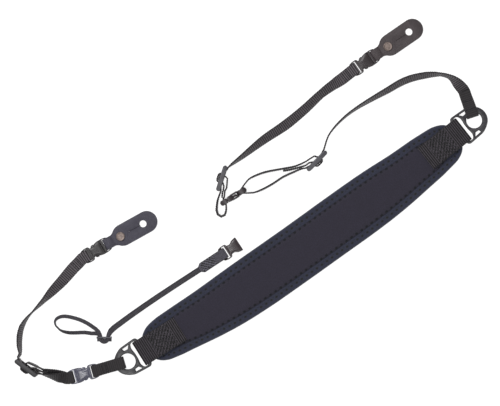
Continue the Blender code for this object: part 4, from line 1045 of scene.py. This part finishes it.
def solid_axes(node, towards):
    """Placement of a long solid: X to the mouth, Y its width, Z its thickness, and half sizes."""
    shape = welded(node)
    spots = np.array([vert.co[:] for vert in shape.verts])
    shape.free()
    values, axes = np.linalg.eigh(np.cov((spots - spots.mean(axis=0)).T))
    order = np.argsort(values)[::-1]
    along, thick = Vector(axes[:, order[0]]), Vector(axes[:, order[2]])
    if along.dot(towards) < 0:
        along.negate()
    if thick.dot(UP + Vector((0.01, 0.02, 0.0))) < 0:
        thick.negate()
    width = thick.cross(along).normalized()
    turn = np.array((along, width, thick))
    local = spots @ turn.T
    low, high = local.min(axis=0), local.max(axis=0)
    centre = Vector(((low + high) / 2) @ turn)
    matrix = Matrix.Translation(centre) @ Matrix((along, width, thick)).transposed().to_4x4()
    return matrix, (high - low) / 2


# Female body: share of its length from the bar to the mouth, share of its half width
WAIST = ((0.40, 0.80), (0.46, 0.56), (0.56, 0.50), (0.66, 0.58), (0.75, 0.76), (0.86, 0.86),
         (0.95, 0.84))


def waist_at(share):
    """Half width of the body's raised panel at a share of the length."""
    for (here, wide), (after, wide_after) in zip(WAIST, WAIST[1:]):
        if share <= after:
            return wide + (wide_after - wide) * (share - here) / (after - here)
    return WAIST[-1][1]


def body_panel(name, matrix, half, face):
    """Crowned skin on one face of a female buckle body, following its waist."""
    piece = grid(name, 18, 10)
    first, last = WAIST[0][0], WAIST[-1][0]
    for vert in piece.data.vertices:
        run, aside = vert.co.x + 0.5, vert.co.y * 2
        share = first + (last - first) * run
        rise = math.sin(run * math.pi) ** 0.35 * math.sqrt(max(0.0, 1 - aside ** 4))
        z = half[2] - 0.12 * MM + 0.62 * MM * rise
        vert.co = ((share * 2 - 1) * half[0], aside * waist_at(share) * half[1], face * z)
    edit(piece)
    bpy.ops.mesh.extrude_region_move(
        TRANSFORM_OT_translate={"value": (0.0, 0.0, -face * 0.3 * MM)})
    bpy.ops.mesh.select_all(action="SELECT")
    bpy.ops.mesh.normals_make_consistent(inside=False)
    bpy.ops.object.mode_set(mode="OBJECT")
    bpy.ops.object.shade_smooth_by_angle(angle=math.radians(50))
    piece.data.transform(matrix)
    return piece


def ridge(name, matrix, centre, size_mm, turn=0.0):
    """A small moulded ridge with rounded ends, placed in a buckle's frame."""
    deselect_all()
    bpy.ops.mesh.primitive_cube_add(size=1.0)
    piece = named(name)
    edit(piece)
    bpy.ops.transform.resize(value=[value * MM for value in size_mm])
    bpy.ops.mesh.bevel(offset=0.16 * MM, segments=2, affect="EDGES")
    bpy.ops.object.mode_set(mode="OBJECT")
    bpy.ops.object.shade_smooth_by_angle(angle=math.radians(50))
    place = Matrix.Translation(centre) @ Matrix.Rotation(turn, 4, "Z")
    piece.data.transform(matrix @ place)
    return piece


BUCKLES = ("ring_buckle", "left_buckle", "right_buckle", "middle_buckle")
# Millimetres of the plate of painted shade over a slot, and how far from the buckle's end it sits
SLOT_SHADE_PLATE = (1.7, 12.8, 0.9)
FEMALE_SHADE_PLATE = 6.8 * MM
MALE_SHADE_PLATE = 6.0 * MM
# Millimetres of a grip ridge, and how far each stands from the buckle's middle
RIDGE = (7.5, 0.55, 0.5)
RIDGE_ROWS = (-1.6 * MM, 0.0, 1.6 * MM)
# Halves whose slots the photograph shows open
OPEN_SLOTS = ("ring_buckle_female", "ring_buckle_male", "right_buckle_female")


class NECKSTRAP_OT_buckles(bpy.types.Operator):
    """Round the buckles' edges and add the panels and ridges of their mouldings"""
    bl_idname = "neckstrap.buckles"
    bl_label = "Buckles"

    def execute(self, context):
        settings = context.scene.neck_strap.plastic
        dark = moulded_material("moulded_acetal_dark", settings.buckle, 0.42)
        # Painted shade: a darker copy of the buckle plastic for the left buckle
        left = moulded_material("moulded_acetal_shaded_left", settings.buckle_left_shaded, 0.42)
        brown = moulded_material("moulded_acetal_brown", settings.buckle_connector, 0.34)
        # Painted reflection: the ring buckle's plastic is paled to look as if it mirrors a bright
        # sky
        sheen_painted = moulded_material("moulded_acetal_painted_sheen", settings.buckle_painted_sheen, 0.28)
        for buckle in BUCKLES:
            female, male = buckle + "_female", buckle + "_male"
            towards = box_centre(male) - box_centre(female)
            finish = {"ring_buckle": sheen_painted, "left_buckle": left}.get(buckle, dark)
            self.female(female, towards, settings, finish)
            self.male(male, towards, settings, finish)
        away = box_centre("connector_buckle") - box_centre("connector_patch")
        self.female("connector_buckle", away, settings, brown)
        return {"FINISHED"}

    def female(self, node, towards, settings, finish):
        """Socket half: a crowned panel, three grip ridges and a step on each free face."""
        matrix, half = solid_axes(node, towards)
        parts = [rounded_copy(node, node + "_moulding", settings.rounding * 0.7, 40)]
        for face in (1, -1):
            # The face that the buckle lies on stays plain
            if (matrix @ Vector((0.0, 0.0, face * (half[2] + MM)))).z < 0.0:
                continue
            parts.append(body_panel(node + "_panel", matrix, half, face))
            for across in RIDGE_ROWS:
                centre = Vector((half[0] * 0.22, across, face * (half[2] + 0.5 * MM)))
                parts.append(ridge(node + "_ridge", matrix, centre, RIDGE))
            step = Vector((-half[0] * 0.28, 0.0, face * (half[2] + 0.02 * MM)))
            parts.append(ridge(node + "_step", matrix, step, (0.8, half[1] / MM * 1.55, 0.5)))
        if node != "connector_buckle":
            parts += self.slot_shade_plate(node, matrix, half, FEMALE_SHADE_PLATE)
        piece = joined(node + "_moulding", parts)
        dressed(piece, finish, [node])

    def slot_shade_plate(self, node, matrix, half, setback):
        """A plate over a slot, put there as painted shade where the slot shows dark."""
        if node in OPEN_SLOTS:
            return []
        centre = Vector((setback - half[0], 0.0, half[2] - 0.5 * MM))
        return [ridge(node + "_lip", matrix, centre, SLOT_SHADE_PLATE)]

    def male(self, node, towards, settings, finish):
        """Plug half, with a plate of painted shade over its slot where that shows dark."""
        matrix, half = solid_axes(node, -towards)
        parts = [rounded_copy(node, node + "_moulding", settings.rounding * 0.7, 40)]
        parts += self.slot_shade_plate(node, matrix, half, MALE_SHADE_PLATE)
        piece = joined(node + "_moulding", parts)
        dressed(piece, finish, [node])


class NECKSTRAP_OT_rings(bpy.types.Operator):
    """Round the moulded rings"""
    bl_idname = "neckstrap.rings"
    bl_label = "Rings"

    def execute(self, context):
        settings = context.scene.neck_strap.plastic
        # The left ring's darker tint is painted shade on the same plastic
        for side, tint in (("right", settings.ring_right), ("left", settings.ring_left)):
            node = "ring_" + side
            finish = moulded_material("moulded_nylon_satin_" + side, tint, 0.4)
            piece = rounded_copy(node, node + "_moulding", settings.rounding * 1.6, 60)
            dressed(piece, finish, [node])
        return {"FINISHED"}


class NECKSTRAP_OT_sliders(bpy.types.Operator):
    """Round the three sliders and the connector's keeper"""
    bl_idname = "neckstrap.sliders"
    bl_label = "Sliders and Keeper"

    def execute(self, context):
        settings = context.scene.neck_strap.plastic
        finish = moulded_material("moulded_acetal_slider", settings.slider, 0.45)
        # Painted shade: a darker copy of the slider plastic for the left slider
        darker = moulded_material("moulded_acetal_slider_shaded", settings.slider_left, 0.45)
        for node in ("slider_right", "slider_middle", "slider_left", "connector_keeper"):
            piece = rounded_copy(node, node + "_moulding", settings.rounding * 0.6, 40)
            if node == "connector_keeper":
                low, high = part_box(node)
                middle = Vector(((low[0] + high[0]) / 2, (low[1] + high[1]) / 2, low[2]))
                back = ridge(node + "_back", Matrix.Identity(4), middle + UP * 0.2 * MM,
                             ((high[0] - low[0]) / MM - 0.6, (high[1] - low[1]) / MM - 0.4, 0.4))
                piece = joined(node + "_moulding", [piece, back])
            tone = darker if node == "slider_left" else finish
            dressed(piece, tone, [node])
        return {"FINISHED"}


# Middle of each leather end's hole, as the record states the openings
BUTTON_HOLES = {"right": (157.3 * MM, 169.7 * MM), "left": (-108.7 * MM, -22.2 * MM)}
# From the hole to the slit's middle, and the millimetres that its closed lips take up
SLIT_MIDDLE = 9.6 * MM
SLIT_LIPS = (12.6, 0.8, 0.8)


class NECKSTRAP_OT_end_tabs(bpy.types.Operator):
    """Burnish the edges of the leather end tabs and give them their grain"""
    bl_idname = "neckstrap.end_tabs"
    bl_label = "End Tabs"

    def execute(self, context):
        settings = context.scene.neck_strap.leather
        for side, tint in (("right", settings.right), ("left", settings.left)):
            node = "end_tab_" + side
            leather = rounded_copy(node, node + "_leather", settings.rounding, 35)
            hole = Vector((*BUTTON_HOLES[side], 0.0))
            run = box_centre("rivet_" + side) - hole
            turn = math.atan2(run.y, run.x)
            along = Vector((math.cos(turn), math.sin(turn), 0.0))
            centre = hole + along * SLIT_MIDDLE + UP * 0.7 * MM
            lips = ridge(node + "_slit", Matrix.Identity(4), centre, SLIT_LIPS, turn)
            piece = joined(node + "_leather", [leather, lips])
            finish = leather_material("embossed_leather_" + side, tint, settings.grain)
            dressed(piece, finish, [node])
        return {"FINISHED"}


# A rivet's cap and back, the back's width against the cap's, and the shank between them
CAP_THICK = 1.0 * MM
BACK_THICK = 0.8 * MM
BACK_SHARE = 0.84
SHANK_RADIUS = 1.5 * MM
# How far the shank reaches into its cap and its back
SHANK_LAP = 0.3 * MM


class NECKSTRAP_OT_rivets(bpy.types.Operator):
    """Turn the rivets: rimmed cap, shank and flat back"""
    bl_idname = "neckstrap.rivets"
    bl_label = "Rivets"

    def execute(self, context):
        settings = context.scene.neck_strap.metal
        finish = plated_material(settings.plating)
        for side in ("right", "left"):
            node = "rivet_" + side
            low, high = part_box(node)
            middle = box_centre(node)
            radius = (high[0] - low[0]) / 2
            under_cap, over_back = high[2] - CAP_THICK, low[2] + BACK_THICK
            cap = self.disc(node, radius, middle, under_cap, high[2], settings.rim)
            back = self.disc(node, radius * BACK_SHARE, middle, low[2], over_back, 0.0)
            deselect_all()
            bpy.ops.mesh.primitive_cylinder_add(
                vertices=24, radius=SHANK_RADIUS, depth=under_cap - over_back + 2 * SHANK_LAP,
                location=(middle.x, middle.y, (under_cap + over_back) / 2))
            shank = named(node)
            bpy.ops.object.shade_smooth_by_angle(angle=math.radians(40))
            piece = joined(node + "_turned", [cap, back, shank])
            dressed(piece, finish, [node])
        return {"FINISHED"}

    def disc(self, name, radius, middle, low, high, rim):
        """A disc with a rounded edge and, where asked, a rim round a domed top."""
        deselect_all()
        bpy.ops.mesh.primitive_cylinder_add(
            vertices=56, radius=radius, depth=high - low,
            location=(middle.x, middle.y, (low + high) / 2))
        piece = named(name)
        activate(piece)
        bpy.ops.object.transform_apply(location=True)
        if rim:
            bpy.ops.object.mode_set(mode="EDIT")
            bpy.ops.mesh.select_mode(type="FACE")
            bpy.ops.mesh.select_all(action="DESELECT")
            bpy.ops.object.mode_set(mode="OBJECT")
            for face in piece.data.polygons:
                face.select = face.normal.z > 0.9
            bpy.ops.object.mode_set(mode="EDIT")
            for width, rise in ((rim / MM, 0.0), (0.18, -0.14), (1.0, 0.08), (1.2, 0.05)):
                bpy.ops.mesh.inset(thickness=width * MM, depth=rise * MM)
            bpy.ops.object.mode_set(mode="OBJECT")
        bevelled(piece, 0.28 * MM, 60)
        bpy.ops.object.shade_smooth_by_angle(angle=math.radians(50))
        return piece


class NECKSTRAP_OT_connector(bpy.types.Operator):
    """Weave the connector's cord and patch, and sew the patch"""
    bl_idname = "neckstrap.connector"
    bl_label = "Connector"

    def execute(self, context):
        settings = context.scene.neck_strap.webbing
        cord_pitch = settings.cord_rib_pitch
        cord_finish = woven_material("narrow_nylon_webbing", settings.cord,
                                     settings.strap_shade, cord_pitch,
                                     settings.yarn_pitch * 0.8, depth=0.15 * MM, fleck=1.7)
        path, length = smooth_path(stations("connector_cord", "connector_patch"),
                                   cord_pitch / 4)
        cord = weave_strip("connector_cord_webbing", path, length, cord_pitch, CORD_RIB, 4)
        dressed(cord, cord_finish, ["connector_cord"])
        path, length = smooth_path(stations("connector_patch", "connector_cord"), 0.5 * MM)
        span = upper_span(path, length, PATCH_SEWN)
        patch_finish = woven_material("nylon_twill", settings.patch, settings.strap_shade,
                                      TWILL_PITCH, TWILL_PITCH, depth=0.12 * MM, fleck=1.6,
                                      quilted_span=(*span, PATCH_LATTICE),
                                      half_width=5.5 * MM)
        patch = weave_strip("connector_patch_twill", path, length, TWILL_PITCH, TWILL_RIB, 8)
        dressed(patch, patch_finish, ["connector_patch"])
        places = lattice_places(path, length, span, PATCH_LATTICE, 45)
        stitches = sew("connector_patch_stitches", places, *PATCH_STITCH)
        dressed(stitches, thread_material(settings.thread))
        return {"FINISHED"}


# Stage

# Each lamp's place and width in metres, and its power in watts
LAMPS = (
    ("key", (-0.6, 0.7, 1.2), 0.6, 17.0),
    ("fill", (0.9, -0.4, 0.9), 0.7, 3.0),
    ("sheen", (-0.38, -0.43, 2.6), 0.4, 20.0),
)


class NECKSTRAP_OT_stage(bpy.types.Operator):
    """Set the light table, the soft lights and the camera above the strap"""
    bl_idname = "neckstrap.stage"
    bl_label = "Stage"

    def execute(self, context):
        settings = context.scene.neck_strap.stage
        self.floor(settings)
        self.lights(context)
        self.camera(context, settings)
        return {"FINISHED"}

    def floor(self, settings):
        """An opal light table just under the strap: it thins the shadows to almost nothing."""
        deselect_all()
        bpy.ops.mesh.primitive_plane_add(size=12.0, location=(0.0, 0.0, -0.05 * MM))
        sheet = named("light_table")
        bpy.ops.object.transform_apply(location=True)
        finish, _, shader = new_material("opal_acrylic", roughness=0.95, specular=0.1)
        shader.inputs["Base Color"].default_value = (*settings.floor, 1.0)
        shader.inputs["Emission Color"].default_value = (1.0, 1.0, 1.0, 1.0)
        shader.inputs["Emission Strength"].default_value = settings.glow
        # The table is found well enough by chance, so the lamps get all of the aimed rays
        finish.cycles.emission_sampling = "NONE"
        sheet.data.materials.append(finish)

    def lights(self, context):
        """An even surround, a key from the upper left, a low fill and a sheen.

        The sheen lamp stands where the flat plastic at the lower left mirrors it.
        """
        world = bpy.data.worlds.new("studio")
        world.use_nodes = True
        context.scene.world = world
        surround = world.node_tree.nodes["Background"]
        surround.inputs["Color"].default_value = (1.0, 1.0, 1.0, 1.0)
        surround.inputs["Strength"].default_value = 0.31
        for name, spot, width, power in LAMPS:
            deselect_all()
            bpy.ops.object.light_add(type="AREA", location=spot)
            lamp = named(name)
            lamp.data.size = width
            lamp.data.energy = power
            aim = -Vector(spot)
            lamp.rotation_euler = aim.to_track_quat("-Z", "Y").to_euler()

    def camera(self, context, settings):
        """Straight above on a long lens, framed as the photograph."""
        eye = bpy.data.cameras.new("photograph")
        eye.lens = settings.lens
        eye.sensor_width = 36.0
        eye.sensor_fit = "HORIZONTAL"
        distance = settings.photo_width * settings.lens / eye.sensor_width
        eye.clip_end = distance * 10
        holder = bpy.data.objects.new("photograph", eye)
        context.scene.collection.objects.link(holder)
        holder.location = (settings.centre_x, settings.centre_y, distance + 4.0 * MM)
        context.scene.camera = holder
        context.scene.view_settings.view_transform = "Standard"


class NECKSTRAP_PT_panel(bpy.types.Panel):
    """Lists the strap's pieces and their settings"""
    bl_idname = "NECKSTRAP_PT_panel"
    bl_label = "Neck Strap"
    bl_space_type = "VIEW_3D"
    bl_region_type = "UI"
    bl_category = "Neck Strap"

    def draw(self, context):
        layout = self.layout
        for operator in OPERATORS:
            layout.operator(operator.bl_idname)
        settings = context.scene.neck_strap
        for group in ("pad", "webbing", "plastic", "leather", "metal", "stage"):
            box = layout.box()
            box.label(text=group.title())
            values = getattr(settings, group)
            for name in values.__annotations__:
                box.prop(values, name)


OPERATORS = (
    NECKSTRAP_OT_stage, NECKSTRAP_OT_pad, NECKSTRAP_OT_pad_tabs, NECKSTRAP_OT_rings,
    NECKSTRAP_OT_straps, NECKSTRAP_OT_buckles, NECKSTRAP_OT_sliders, NECKSTRAP_OT_end_tabs,
    NECKSTRAP_OT_rivets, NECKSTRAP_OT_connector,
)
GROUPS = (
    NECKSTRAP_PG_pad, NECKSTRAP_PG_webbing, NECKSTRAP_PG_plastic, NECKSTRAP_PG_leather,
    NECKSTRAP_PG_metal, NECKSTRAP_PG_stage, NECKSTRAP_PG_settings,
)


def register():
    """Register the add-on's classes and its settings."""
    for item in GROUPS + OPERATORS + (NECKSTRAP_PT_panel,):
        bpy.utils.register_class(item)
    bpy.types.Scene.neck_strap = PointerProperty(type=NECKSTRAP_PG_settings)


def unregister():
    """Remove the settings and the add-on's classes."""
    del bpy.types.Scene.neck_strap
    for item in reversed(GROUPS + OPERATORS + (NECKSTRAP_PT_panel,)):
        bpy.utils.unregister_class(item)


def main():
    """Dress the whole strap."""
    for item in ("Cube", "Light", "Camera"):
        if item in bpy.data.objects:
            bpy.data.objects.remove(bpy.data.objects[item], do_unlink=True)
    register()
    bpy.ops.neckstrap.stage()
    bpy.ops.neckstrap.pad()
    bpy.ops.neckstrap.pad_tabs()
    bpy.ops.neckstrap.rings()
    bpy.ops.neckstrap.straps()
    bpy.ops.neckstrap.buckles()
    bpy.ops.neckstrap.sliders()
    bpy.ops.neckstrap.end_tabs()
    bpy.ops.neckstrap.rivets()
    bpy.ops.neckstrap.connector()


if __name__ == "__main__":
    main()
